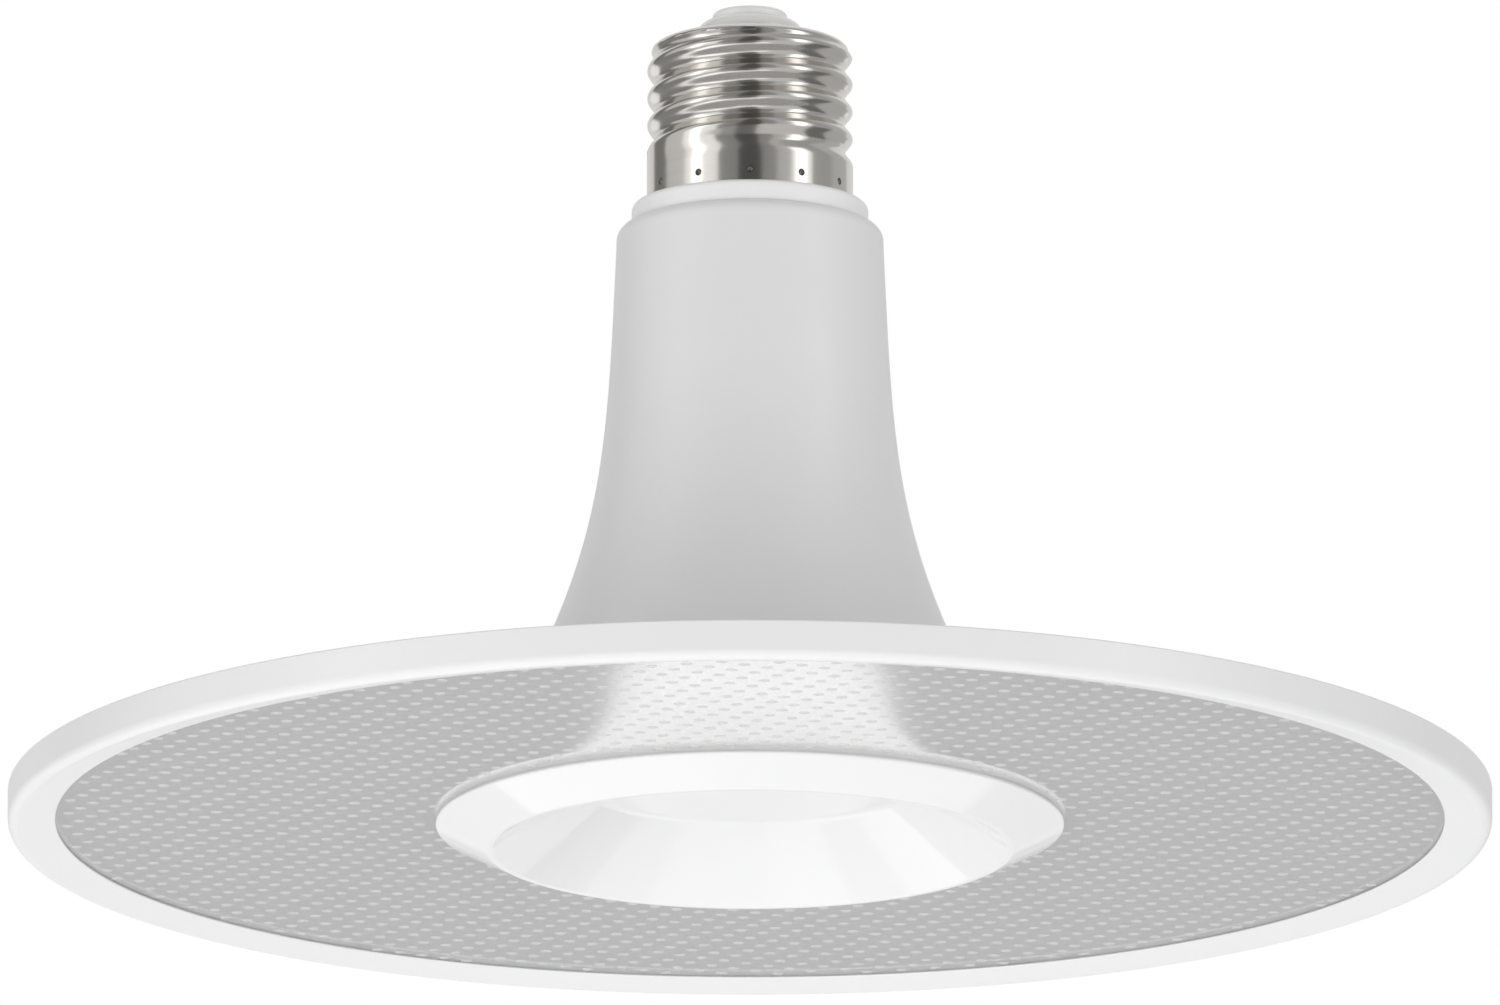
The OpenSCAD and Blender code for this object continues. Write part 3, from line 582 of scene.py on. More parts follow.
def rolled_wall(cap, crest_radius, skirt_top, thread_top):
    """Sweeps one pitch of the wave up a helix, and cuts it level under the skirt and over the thread."""
    pitch = cap.thread_pitch
    turns_below = floor((cap.skirt_height + cap.crest_height) / pitch) + 2
    turns_above = ceil(cap.thread_height / pitch)
    start = skirt_top + cap.crest_height - turns_below * pitch
    rows = 16
    draw_section([(crest_radius - cap.thread_depth * (1 - cos(TURN * i / rows)) / 2,
                   start + pitch * i / rows) for i in range(rows + 1)])
    bpy.ops.object.mode_set(mode="OBJECT")
    bpy.ops.object.transform_apply(location=True, rotation=True, scale=True)
    wall = bpy.context.object
    use_modifier(wall, "SCREW", angle=TURN, screw_offset=pitch, iterations=turns_below + turns_above,
                 steps=120, render_steps=120, use_merge_vertices=False)
    bpy.ops.object.mode_set(mode="EDIT")
    bpy.ops.mesh.select_all(action="SELECT")
    bpy.ops.mesh.remove_doubles(threshold=0.01 * MM)
    for level, side in ((SKIRT_LOW, "clear_inner"), (thread_top, "clear_outer")):
        bpy.ops.mesh.select_all(action="SELECT")
        bpy.ops.mesh.bisect(plane_co=(0, 0, level), plane_no=(0, 0, 1), threshold=0.001 * MM,
                            **{side: True})
    face_outward()
    return wall


def blend_to_cylinder(piece, name, radius, weight):
    """Draws the wall onto a plain cylinder where the weight says so."""
    group = piece.vertex_groups.new(name=name)
    for vertex in piece.data.vertices:
        group.add([vertex.index], weight(vertex.co), "REPLACE")
    deselect()
    taller_than_cap = 80 * MM
    bpy.ops.mesh.primitive_cylinder_add(vertices=512, radius=radius, depth=taller_than_cap,
                                        end_fill_type="NOTHING", location=(0, 0, SKIRT_LOW))
    form = bpy.context.object
    use_modifier(piece, "SHRINKWRAP", target=form, vertex_group=name)
    bpy.data.objects.remove(form, do_unlink=True)


def draw_crown(cap, shell, crown_edge, skirt_top, thread_top):
    """Draws the wall's open upper edge in over a quarter of an ellipse, up to the crown's hole."""
    bpy.ops.object.mode_set(mode="EDIT")
    bpy.ops.mesh.select_mode(type="VERT")
    bpy.ops.mesh.select_all(action="DESELECT")
    bpy.ops.mesh.select_non_manifold(use_wire=False, use_multi_face=False, use_non_contiguous=False,
                                     use_verts=False)
    bpy.ops.object.mode_set(mode="OBJECT")
    open_edge = {vertex.index for vertex in shell.data.vertices
                 if vertex.select and vertex.co.z > skirt_top}
    select_points(shell, lambda vertex: vertex.index in open_edge)
    steps, radius, height = 8, crown_edge, thread_top
    for i in range(1, steps + 1):
        a = pi / 2 * i / steps
        new_radius = cap.crown_hole + (crown_edge - cap.crown_hole) * cos(a)
        new_height = thread_top + (SHELL_TOP - thread_top) * sin(a)
        bpy.ops.mesh.extrude_region_move(TRANSFORM_OT_translate={"value": (0, 0, new_height - height)})
        factor = new_radius / radius
        bpy.ops.transform.resize(value=(factor, factor, 1), center_override=(0, 0, new_height))
        radius, height = new_radius, new_height
    face_outward()


def crimp(cap, shell):
    """Dents the skirt with a ring of round punches."""
    punches = []
    away = SKIRT_RADIUS + cap.dent_radius - cap.dent_depth
    for i in range(cap.dents):
        deselect()
        a = TURN * i / cap.dents
        place = (away * cos(a), away * sin(a), SKIRT_LOW + cap.dent_rise)
        bpy.ops.mesh.primitive_uv_sphere_add(segments=20, ring_count=12, radius=cap.dent_radius,
                                             location=place)
        punches.append(bpy.context.object)
    for punch in punches:
        punch.select_set(True)
    bpy.ops.object.join()
    punch = bpy.context.object
    use_modifier(shell, "BOOLEAN", object=punch, operation="DIFFERENCE", solver="EXACT")
    bpy.data.objects.remove(punch, do_unlink=True)


def paint_dent_shade(cap, shell, finish):
    """Gives the small faces that the punches pressed a darker metal of their own: painted shade in the dents.
    """
    shell.data.materials.append(finish)
    largest = 0.05 * MM * MM
    shallowest, deepest = 0.02 * MM, cap.wall - 0.005 * MM
    for polygon in shell.data.polygons:
        centre = polygon.center
        level = abs(centre.z - SKIRT_LOW - cap.dent_rise) < cap.dent_radius
        depth = SKIRT_RADIUS - hypot(centre.x, centre.y)
        pressed = polygon.area < largest and shallowest < depth < deepest
        polygon.material_index = int(level and pressed)


class LAMP_OT_cap_shell(Operator):
    """Rolled screw shell: a wave swept up a helix, cut level, run out into skirt and crown, and crimped"""
    bl_idname = "lamp.cap_shell"
    bl_label = "Cap Shell"
    bl_options = {"REGISTER", "UNDO"}

    def execute(self, context):
        cap = context.scene.lamp_cap
        tone = context.scene.lamp_colours.nickel
        skirt_top = SKIRT_LOW + cap.skirt_height
        thread_top = skirt_top + cap.thread_height
        crest_radius = SKIRT_RADIUS - cap.crest_inset
        crown_edge = crest_radius - cap.crown_inset
        shell = rolled_wall(cap, crest_radius, skirt_top, thread_top)
        blend_to_cylinder(shell, "skirt", SKIRT_RADIUS,
                          lambda co: 1 - unit(groove_height(cap, co) / cap.run_out))
        blend_to_cylinder(shell, "crown", crown_edge,
                          lambda co: 1 - unit((thread_top - co.z) / cap.crown_blend))
        draw_crown(cap, shell, crown_edge, skirt_top, thread_top)
        use_modifier(shell, "SOLIDIFY", thickness=cap.wall, offset=-1)
        crimp(cap, shell)
        keep(shell, "cap_shell_rolled", nickel(tone), "cap_shell", crease=40, flat=False)
        # The dents get the nickel tone at 0.35: painted shade in the pressed hollows.
        paint_dent_shade(cap, shell, metal("Dent Painted Shade", shade_of(tone, 0.35), roughness=0.45))
        return {"FINISHED"}


class LAMP_OT_cap_insulator(Operator):
    """White insulator that fills the crown's hole and domes up to the contact"""
    bl_idname = "lamp.cap_insulator"
    bl_label = "Cap Insulator"
    bl_options = {"REGISTER", "UNDO"}

    def execute(self, context):
        cap, colours = context.scene.lamp_cap, context.scene.lamp_colours
        contact = reach("centre_contact")
        bore = cap.shank_radius + cap.fit
        dome = cap.crown_hole - cap.fit
        base, flange = low("cap_insulator"), reach("cap_insulator")
        under_crown = SHELL_TOP - cap.wall - cap.fit
        start = SHELL_TOP + cap.dome_start
        section = [(bore, base), (flange, base), (flange, base + cap.flange_thickness),
                   (dome + cap.slope_width, under_crown - cap.slope_drop), (dome, under_crown)]
        steps = 9
        for i in range(steps + 1):
            a = pi / 2 * i / steps
            section.append((contact + (dome - contact) * cos(a), start + (INSULATOR_TOP - start) * sin(a)))
        section += [(bore, INSULATOR_TOP), (bore, base)]
        finish = coated("Cap Insulator", colours.insulator, roughness=0.22, grain=0.2, depth=0.01 * MM,
                        coat=0.5)
        keep(turn(section, steps=120), "insulator_dome", finish, "cap_insulator")
        return {"FINISHED"}


class LAMP_OT_centre_contact(Operator):
    """Metal eyelet on top of the cap, with a rounded edge, a shallow solder dome and its shank"""
    bl_idname = "lamp.centre_contact"
    bl_label = "Centre Contact"
    bl_options = {"REGISTER", "UNDO"}

    def execute(self, context):
        cap, colours = context.scene.lamp_cap, context.scene.lamp_colours
        r, shank = reach("centre_contact"), cap.shank_radius
        base = low("centre_contact")
        rounds = cap.contact_round
        solder_edge, solder_flat = 0.55 * r, 0.25 * r
        section = [(0, base), (shank, base), (shank, INSULATOR_TOP), (r, INSULATOR_TOP)]
        section += arc(r - rounds, INSULATOR_TOP + cap.contact_side, rounds, 0, 70)
        section += [(solder_edge, CONTACT_TOP - cap.solder_rise), (solder_flat, CONTACT_TOP),
                    (0, CONTACT_TOP)]
        finish = metal("Contact Metal", colours.contact, roughness=0.5, metallic=0.1)
        keep(turn(section, steps=96), "contact_eyelet", finish, "centre_contact", crease=50)
        return {"FINISHED"}


class LAMP_OT_neck_sleeve(Operator):
    """Sleeve whose rounded collar shows between the cap and the housing"""
    bl_idname = "lamp.neck_sleeve"
    bl_label = "Neck Sleeve"
    bl_options = {"REGISTER", "UNDO"}

    def execute(self, context):
        cap, sizes, colours = context.scene.lamp_cap, context.scene.lamp_housing, context.scene.lamp_colours
        rounds, foot = sizes.collar_round, sizes.collar_foot
        plug = SKIRT_RADIUS - cap.wall - sizes.plug_fit
        plug_bore = plug - sizes.sleeve_wall
        sleeve = sizes.sleeve_radius
        sleeve_bore = sleeve - sizes.sleeve_wall
        plug_top, base = top("neck_sleeve"), low("neck_sleeve")
        section = [(plug_bore, plug_top), (plug, plug_top), (plug, SKIRT_LOW)]
        section += arc(COLLAR_RADIUS - rounds, SKIRT_LOW - rounds, rounds, 90, 0, 8)
        section += arc(COLLAR_RADIUS - foot, NECK_TOP + foot, foot, 0, -90, 3)
        section += [(sleeve, NECK_TOP), (sleeve, base), (sleeve_bore, base),
                    (sleeve_bore, NECK_TOP - sizes.bore_slope), (plug_bore, SKIRT_LOW),
                    (plug_bore, plug_top)]
        finish = coated("Collar Plastic", colours.collar, roughness=0.38, grain=0.3, depth=0.015 * MM)
        keep(turn(section, steps=160), "sleeve_with_collar", finish, "neck_sleeve")
        return {"FINISHED"}


def flare_points(sizes, inset, steps=48):
    """Points down the housing's flare, set in from its outer face."""
    foot_level = PANEL_TOP + sizes.foot_thickness
    start = Vector((sizes.neck_radius, NECK_TOP - sizes.shoulder - sizes.shoulder_land))
    end = Vector((HUB_RADIUS - sizes.foot_flat - sizes.foot_round * cos(sizes.flare_end),
                  foot_level + sizes.foot_round * (1 - sin(sizes.flare_end))))
    handles = [start, start + sizes.top_pull * Vector((sin(sizes.flare_start), -cos(sizes.flare_start))),
               end + sizes.foot_pull * Vector((-sin(sizes.flare_end), cos(sizes.flare_end))), end]
    points = []
    for i in range(steps + 1):
        t = i / steps
        p = ((1 - t) ** 3 * handles[0] + 3 * (1 - t) ** 2 * t * handles[1]
             + 3 * (1 - t) * t * t * handles[2] + t ** 3 * handles[3])
        d = ((1 - t) ** 2 * (handles[1] - handles[0]) + 2 * (1 - t) * t * (handles[2] - handles[1])
             + t * t * (handles[3] - handles[2])).normalized()
        points.append((p.x + inset * d.y, p.y - inset * d.x))
    return points


class LAMP_OT_housing(Operator):
    """Flared white housing: shoulder, flare, round and flange outside, and its hollow inside"""
    bl_idname = "lamp.housing"
    bl_label = "Housing"
    bl_options = {"REGISTER", "UNDO"}

    def execute(self, context):
        sizes, colours = context.scene.lamp_housing, context.scene.lamp_colours
        shoulder, edge = sizes.shoulder, sizes.foot_edge
        foot_level = PANEL_TOP + sizes.foot_thickness
        bore = sizes.sleeve_radius + sizes.sleeve_fit
        grip_low = NECK_TOP - sizes.grip_height
        plate_top = top("led_carrier")
        seat = reach("led_carrier") - sizes.carrier_seat
        section = [(bore, NECK_TOP)]
        section += arc(sizes.neck_radius - shoulder, NECK_TOP - shoulder, shoulder, 90, 0, 10)
        section += flare_points(sizes, 0.0)
        section += arc(HUB_RADIUS - sizes.foot_flat, foot_level + sizes.foot_round, sizes.foot_round,
                       180 + degrees(sizes.flare_end), 270, 14)[1:]
        section += arc(HUB_RADIUS - edge, foot_level - edge, edge, 90, 0, 4)
        section += [(HUB_RADIUS, PANEL_TOP), (seat, PANEL_TOP), (seat, plate_top)]
        inner = [p for p in flare_points(sizes, sizes.wall) if p[1] < grip_low - sizes.bore_slope]
        section += [(inner[-1][0], plate_top), *inner[::-1], (bore, grip_low), (bore, NECK_TOP)]
        finish = coated("Housing Lacquer", colours.lacquer, roughness=0.36, grain=0.35, depth=0.02 * MM)
        # The lacquer glows where the panel shows the housing: painted light.
        keep(turn(section, steps=192), "flared_housing", paint_glow_through_panel(finish, colours.painted_glow),
             "housing")
        return {"FINISHED"}


class LAMP_OT_outer_ring(Operator):
    """White outer ring: side wall, sloping underside and the thin lip under the panel"""
    bl_idname = "lamp.outer_ring"
    bl_label = "Outer Ring"
    bl_options = {"REGISTER", "UNDO"}

    def execute(self, context):
        disc, colours = context.scene.lamp_disc, context.scene.lamp_colours
        lip = DISC_RADIUS - disc.lip_width
        wall_in = DISC_RADIUS - disc.ring_wall
        lip_low = PANEL_LOW - disc.lip_thickness
        slope = degrees(atan2(lip_low - RING_LOW, disc.lip_width - disc.edge_round))
        bead_level, bead = PANEL_TOP - disc.bead_drop, disc.snap_bead
        cut, lower, upper = disc.lip_bevel, disc.edge_round, disc.upper_round
        section = [(lip + cut, PANEL_LOW), (lip, PANEL_LOW - cut), (lip, lip_low + cut),
                   (lip + cut, lip_low)]
        section += arc(DISC_RADIUS - lower, RING_LOW + lower, lower, 270 - slope, 360, 8)
        section += arc(DISC_RADIUS - upper, RING_TOP - upper, upper, 0, 90, 4)
        section += [(wall_in, RING_TOP), (wall_in, bead_level + 2 * bead), (wall_in + bead, bead_level),
                    (wall_in, bead_level - 2 * bead), (wall_in, PANEL_LOW), (lip + cut, PANEL_LOW)]
        finish = coated("Ring Plastic", colours.gloss, roughness=0.3, grain=0.25, depth=0.012 * MM)
        keep(turn(section, steps=320), "outer_ring_moulded", finish, "outer_ring",
             crease=30)
        return {"FINISHED"}


class LAMP_OT_back_ring(Operator):
    """Back ring: flange over the panel and the leg that snaps into the outer ring"""
    bl_idname = "lamp.back_ring"
    bl_label = "Back Ring"
    bl_options = {"REGISTER", "UNDO"}

    def execute(self, context):
        disc, colours = context.scene.lamp_disc, context.scene.lamp_colours
        leg_out = reach("back_ring") - disc.snap_bead
        leg_in = leg_out - disc.back_leg
        lip = DISC_RADIUS - disc.lip_width
        bead_level, bead = PANEL_TOP - disc.bead_drop, disc.snap_bead
        rounds = disc.back_round
        foot = low("back_ring")
        section = [(lip, PANEL_TOP), (leg_in, PANEL_TOP), (leg_in, foot), (leg_out, foot),
                   (leg_out, bead_level - 2 * bead), (leg_out + bead, bead_level),
                   (leg_out, bead_level + 2 * bead)]
        section += arc(leg_out - rounds, RING_TOP - rounds, rounds, 0, 90, 4)
        section += arc(lip + rounds, RING_TOP - rounds, rounds, 90, 180, 4)
        section += [(lip, PANEL_TOP)]
        finish = coated("Back Ring Plastic", colours.gloss, roughness=0.34, grain=0.25, depth=0.012 * MM)
        keep(turn(section, steps=320), "back_ring_moulded", finish, "back_ring",
             crease=30)
        return {"FINISHED"}


class LAMP_OT_light_guide(Operator):
    """Satin panel that carries the light outwards, with its edges broken"""
    bl_idname = "lamp.light_guide"
    bl_label = "Light Guide"
    bl_options = {"REGISTER", "UNDO"}

    def execute(self, context):
        disc, tone = context.scene.lamp_disc, context.scene.lamp_colours.panel
        bore = reach("led_chips") + disc.guide_gap
        middle = (0, 0, (PANEL_LOW + PANEL_TOP) / 2)
        deselect()
        bpy.ops.mesh.primitive_cylinder_add(vertices=320, radius=bore, depth=PANEL_TOP - PANEL_LOW,
                                            end_fill_type="NOTHING", location=middle)
        piece = context.object
        bpy.ops.object.mode_set(mode="EDIT")
        bpy.ops.mesh.select_all(action="SELECT")
        factor = PANEL_RADIUS / bore
        bpy.ops.mesh.extrude_region_move(TRANSFORM_OT_translate={"value": (0, 0, 0)})
        bpy.ops.transform.resize(value=(factor, factor, 1), center_override=(0, 0, 0))
        face_outward()
        use_modifier(piece, "BEVEL", width=disc.guide_bevel, segments=2, limit_method="ANGLE")
        finish = clear_panel("Satin Light Guide", tone, ior=1.35)
        keep(piece, "light_guide_panel", finish, "light_guide")
        piece.data.materials.append(clear_panel("Light Guide Back", tone, ior=1.0))
        facing_up = 0.9
        for polygon in piece.data.polygons:
            polygon.material_index = int(polygon.normal.z > facing_up)
        return {"FINISHED"}


class LAMP_OT_guide_dots(Operator):
    """Printed dots that let the light out of the panel: one low dome in a square lattice"""
    bl_idname = "lamp.guide_dots"
    bl_label = "Light Guide Dots"
    bl_options = {"REGISTER", "UNDO"}

    def execute(self, context):
        disc = context.scene.lamp_disc
        outer = DISC_RADIUS - disc.lip_width - disc.dot_radius
        inner = HUB_RADIUS + disc.dot_radius
        side = int(outer / disc.dot_pitch) + 1
        corner = -side * disc.dot_pitch
        level = PANEL_LOW + disc.dot_bite
        deselect()
        bpy.ops.mesh.primitive_uv_sphere_add(segments=8, ring_count=4, radius=disc.dot_radius,
                                             location=(corner, corner, level))
        dots = context.object
        bpy.ops.object.mode_set(mode="EDIT")
        bpy.ops.mesh.select_all(action="SELECT")
        bpy.ops.mesh.bisect(plane_co=(0, 0, level), plane_no=(0, 0, 1), clear_outer=True, use_fill=True)
        bpy.ops.mesh.select_all(action="SELECT")
        flatness = (disc.dot_height + disc.dot_bite) / disc.dot_radius
        bpy.ops.transform.resize(value=(1, 1, flatness), center_override=(0, 0, level))
        bpy.ops.object.mode_set(mode="OBJECT")
        bpy.ops.object.transform_apply(location=True, rotation=True, scale=True)
        one = len(dots.data.vertices)
        for axis in range(2):
            step = [0.0, 0.0, 0.0]
            step[axis] = disc.dot_pitch
            use_modifier(dots, "ARRAY", count=2 * side + 1, use_relative_offset=False,
                         use_constant_offset=True, constant_offset_displace=step)
        bpy.ops.object.mode_set(mode="EDIT")
        bpy.ops.mesh.select_all(action="SELECT")
        bpy.ops.transform.rotate(value=-disc.dot_turn, orient_axis="Z", center_override=(0, 0, 0))
        bpy.ops.object.mode_set(mode="OBJECT")
        vertices = dots.data.vertices
        outside = set()
        for first in range(0, len(vertices), one):
            dot = range(first, first + one)
            centre = sum((vertices[i].co for i in dot), Vector()) / one
            if not inner < hypot(centre.x, centre.y) < outer:
                outside.update(dot)
        select_points(dots, lambda vertex: vertex.index in outside)
        bpy.ops.mesh.delete(type="VERT")
        bpy.ops.object.mode_set(mode="OBJECT")
        keep(dots, "light_guide_dots", printed_dot(context.scene.lamp_colours.dots),
             crease=60, flat=False)
        return {"FINISHED"}


class LAMP_OT_hub_cover(Operator):
    """Glossy hub cover: bevelled rim, conical dish and flat floor"""
    bl_idname = "lamp.hub_cover"
    bl_label = "Hub Cover"
    bl_options = {"REGISTER", "UNDO"}

    def execute(self, context):
        hub, colours = context.scene.lamp_hub, context.scene.lamp_colours
        rim_in, rim_out = hub.rim_radius - hub.rim_land / 2, hub.rim_radius + hub.rim_land / 2
        slope = atan2(hub.dish_depth, rim_in - hub.floor_radius)
        run = hub.floor_round * tan(slope / 2)
        edge_top = hub.bevel_height + hub.edge_height
        rise = hub.wall / cos(slope)
        pocket = hub.pocket_radius
        seat = pocket + hub.seat_width
        bevel_under_pocket = hub.bevel_height * (pocket - rim_out) / (HUB_RADIUS - rim_out)
        pocket_level = bevel_under_pocket + hub.wall - hub.pocket_depth
        valley = rim_in - (pocket_level - rise) / tan(slope)
        roof = hub.dish_depth + hub.wall
        roof_radius = rim_in - (roof - rise) / tan(slope)
        outside = [(0, hub.dish_depth)]
        outside += arc(hub.floor_radius - run, hub.dish_depth - hub.floor_round, hub.floor_round, 90,
                       90 - degrees(slope), 10)
        rim = rounded([outside[-1], (rim_in, 0), (rim_out, 0), (HUB_RADIUS, hub.bevel_height),
                       (HUB_RADIUS, edge_top), (seat, edge_top)], hub.corner_round)
        inside = [(seat, PANEL_LOW), (pocket + hub.pocket_slope, PANEL_LOW), (pocket, pocket_level),
                  (valley, pocket_level), (roof_radius, roof), (0, roof)]
        finish = coated("Hub Gloss", colours.gloss, roughness=0.07, grain=0.05, depth=0.004 * MM)
        keep(turn(outside + rim[1:] + inside, steps=192), "hub_cover_moulded", finish,
             "hub_cover", crease=28)
        return {"FINISHED"}


class LAMP_OT_inner_finishes(Operator):
    """Finishes of the pieces inside the lamp, which keep their CAD shape"""
    bl_idname = "lamp.inner_finishes"
    bl_label = "Inner Finishes"
    bl_options = {"REGISTER", "UNDO"}

    def execute(self, context):
        finishes = {
            "live_lead": lead_plastic("Red Lead", (0.45, 0.03, 0.02)),
            "neutral_lead": lead_plastic("Blue Lead", (0.03, 0.10, 0.45)),
            "positive_lead": lead_plastic("Red Output Lead", (0.45, 0.03, 0.02)),
            "negative_lead": lead_plastic("Black Lead", (0.02, 0.02, 0.022)),
            "driver_board": circuit_board((0.02, 0.12, 0.05)),
            "film_capacitor": coated("Film Capacitor", (0.55, 0.33, 0.05), roughness=0.45, grain=0.6,
                                     depth=0.05 * MM, scale=900.0),
            "line_choke": wound("Choke Winding", (0.07, 0.065, 0.06), ring_scale=900.0),
            "fusible_resistor": wound("Resistor Body", (0.10, 0.25, 0.30), ring_scale=260.0),
            "bridge_rectifier": black_epoxy("Rectifier Epoxy"),
            "driver_chip": black_epoxy("Chip Epoxy"),
            "bulk_capacitor": can_sleeve("Bulk Capacitor Sleeve"),
            "output_capacitor": can_sleeve("Output Capacitor Sleeve"),
            "transformer": wound("Transformer Tape and Core", (0.28, 0.14, 0.04), ring_scale=500.0),
            "led_carrier": metal("Bare Aluminium", (0.80, 0.80, 0.81), roughness=0.38, grain=0.8),
            "carrier_screws": metal("Screw Steel", (0.62, 0.60, 0.57), roughness=0.28),
            "led_strip": coated("Strip Mask", (0.78, 0.78, 0.76), roughness=0.45, grain=0.3, depth=0.01 * MM),
            "led_chips": coated("Phosphor", (0.80, 0.62, 0.16), roughness=0.5, grain=0.6, depth=0.02 * MM,
                                scale=1800.0),
        }
        for node, finish in finishes.items():
            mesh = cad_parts[node].data
            mesh.materials.clear()
            mesh.materials.append(finish)
        return {"FINISHED"}


# Stage, in metres, degrees and watts

SENSOR_WIDTH = 36.0
CLIP_START, CLIP_END = 0.5, 400.0
LAMP_MIDDLE = Vector((0, 0, 0.045))
CARD_DISTANCE = 3.3
FLOOR_LEVEL, FLOOR_SIZE = -15.0, 160.0
FLOOR_BOX_Y, FLOOR_BOX_LEVEL, FLOOR_BOX_DEPTH = -0.05, -1.2, 3.1

# Name, azimuth, elevation, distance, width, height, power, and whether reflections show it
SOFTBOXES = (
    ("Front Softbox", 0, -24, 2.2, 1.6, 0.8, 14, False),
    ("Left Softbox", -62, 14, 2.2, 0.5, 2.2, 2.85, True),
    ("Right Softbox", 60, 14, 2.2, 0.5, 2.2, 3.2, True),
    ("Top Softbox", 0, 66, 2.0, 1.0, 1.0, 0.8, False),
    ("Left Fill", -70, -10, 2.2, 1.4, 1.4, 8, False),
    ("Right Fill", 70, -10, 2.2, 1.4, 1.4, 8.4, False),
)

# Name, place to the right, width and power
FLOOR_BOXES = (
    ("Floor Softbox", -0.8, 1.4, 11.4),
    ("Side Floor Softbox", 0.29, 0.78, 4.9),
)

# Name, azimuths, elevations and level
CARDS = (
    ("Left Rear Card", (-180, -136), (-4, 88), 0.75),
    ("Left Dark Card", (-136, -108), (-4, 88), 0.2),
    ("Left Side Card", (-108, -78), (-4, 88), 0.6),
    ("Left Grey Card", (-36, -13), (-4, 88), 0.27),
    ("Dark Card", (-13, 13), (-4, 88), 0.08),
    ("Right Grey Card", (13, 30), (-4, 88), 0.29),
    ("Right Pale Card", (30, 48), (-4, 88), 0.5),
    ("Right Side Card", (74, 105), (-4, 88), 0.37),
    ("Right Rear Side Card", (105, 138), (-4, 88), 0.48),
    ("Right Rear Card", (138, 180), (-4, 88), 0.75),
    ("Left High Card", (-78, -36), (44, 88), 0.3),
    ("Right High Card", (48, 74), (44, 88), 0.4),
    ("Left Low Card", (-135, -75), (-66, -4), 0.25),
    ("Left Low Pale Card", (-75, -30), (-66, -4), 0.6),
    ("Left Low Grey Card", (-30, -13), (-66, -4), 0.35),
    ("Low Dark Card", (-13, 11), (-66, -4), 0.15),
    ("Right Low Pale Card", (11, 75), (-66, -4), 0.6),
    ("Right Low Card", (75, 105), (-66, -4), 0.16),
    ("Right Low Rear Card", (105, 150), (-66, -4), 0.45),
)


def aim_at(thing, place, target):
    """Puts a camera or a lamp in its place and turns it to its target."""
    thing.location = place
    thing.rotation_euler = (Vector(target) - Vector(place)).to_track_quat("-Z", "Y").to_euler()


def area_lamp(name, place, width, height, power):
    """A rectangular lamp that the camera doesn't see."""
    deselect()
    bpy.ops.object.light_add(type="AREA", location=place)
    lamp = bpy.context.object
    lamp.name = lamp.data.name = name
    lamp.data.shape = "RECTANGLE"
    lamp.data.size, lamp.data.size_y, lamp.data.energy = width, height, power
    lamp.visible_camera = False
    return lamp


def softbox(name, azimuth, elevation, distance, width, height, power, glossy):
    """A lamp that faces the object; azimuth 0 is the camera's side and grows to the right."""
    a, e = radians(azimuth), radians(elevation)
    place = Vector((sin(a) * cos(e), -cos(a) * cos(e), sin(e))) * distance + LAMP_MIDDLE
    lamp = area_lamp(name, place, width, height, power)
    lamp.visible_glossy = glossy
    aim_at(lamp, place, LAMP_MIDDLE)


def floor_box(name, x, width, power):
    """A lamp under the object that shines straight up and doesn't show through the panel."""
    lamp = area_lamp(name, (x, FLOOR_BOX_Y, FLOOR_BOX_LEVEL), width, FLOOR_BOX_DEPTH, power)
    lamp.rotation_euler = (pi, 0, 0)
    lamp.visible_transmission = False


def card(name, azimuths, elevations, level):
    """A patch of a sphere round the lamp that only reflections see, between two azimuths and elevations."""
    start, end = (radians(90 - a) for a in azimuths)
    draw_section(arc(0, 0, CARD_DISTANCE, *elevations, 12))
    bpy.ops.mesh.select_all(action="SELECT")
    bpy.ops.transform.rotate(value=start, orient_axis="Z", center_override=(0, 0, 0))
    bpy.ops.mesh.spin(steps=12, angle=end - start, center=(0, 0, 0), axis=(0, 0, 1))
    bpy.ops.object.mode_set(mode="OBJECT")
    bpy.ops.object.transform_apply(location=True, rotation=True, scale=True)
    patch = bpy.context.object
    patch.name = patch.data.name = name
    material = bpy.data.materials.new(name)
    nodes, links = empty_tree(material)
    glow = nodes.new("ShaderNodeEmission")
    glow.inputs["Color"].default_value = (level, level, level, 1)
    links.new(glow.outputs["Emission"], nodes.new("ShaderNodeOutputMaterial").inputs["Surface"])
    patch.data.materials.append(material)
    patch.visible_camera = patch.visible_diffuse = patch.visible_shadow = False
    patch.visible_transmission = patch.visible_volume_scatter = False


def seen_directly(nodes, links):
    """Masks of the rays that see the surroundings straight or mirrored, and of those through the panel."""
    path = nodes.new("ShaderNodeLightPath")
    camera, mirrored = path.outputs["Is Camera Ray"], path.outputs["Is Glossy Ray"]
    seen = math_node(nodes, links, "MAXIMUM", camera, mirrored)
    return seen, path.outputs["Is Transmission Ray"]


def place_camera(scene, stage):
    """Camera below the lamp, far off with a long lens."""
    deselect()
    distance = stage.view_width * stage.lens / SENSOR_WIDTH
    target = Vector((0, 0, stage.aim))
    place = target + distance * Vector((0, -cos(stage.look_up), -sin(stage.look_up)))
    bpy.ops.object.camera_add(location=place)
    camera = bpy.context.object
    camera.name = camera.data.name = "Camera"
    camera.data.lens, camera.data.sensor_width = stage.lens, SENSOR_WIDTH
    camera.data.clip_start, camera.data.clip_end = CLIP_START, CLIP_END
    aim_at(camera, place, target)
    scene.camera = camera


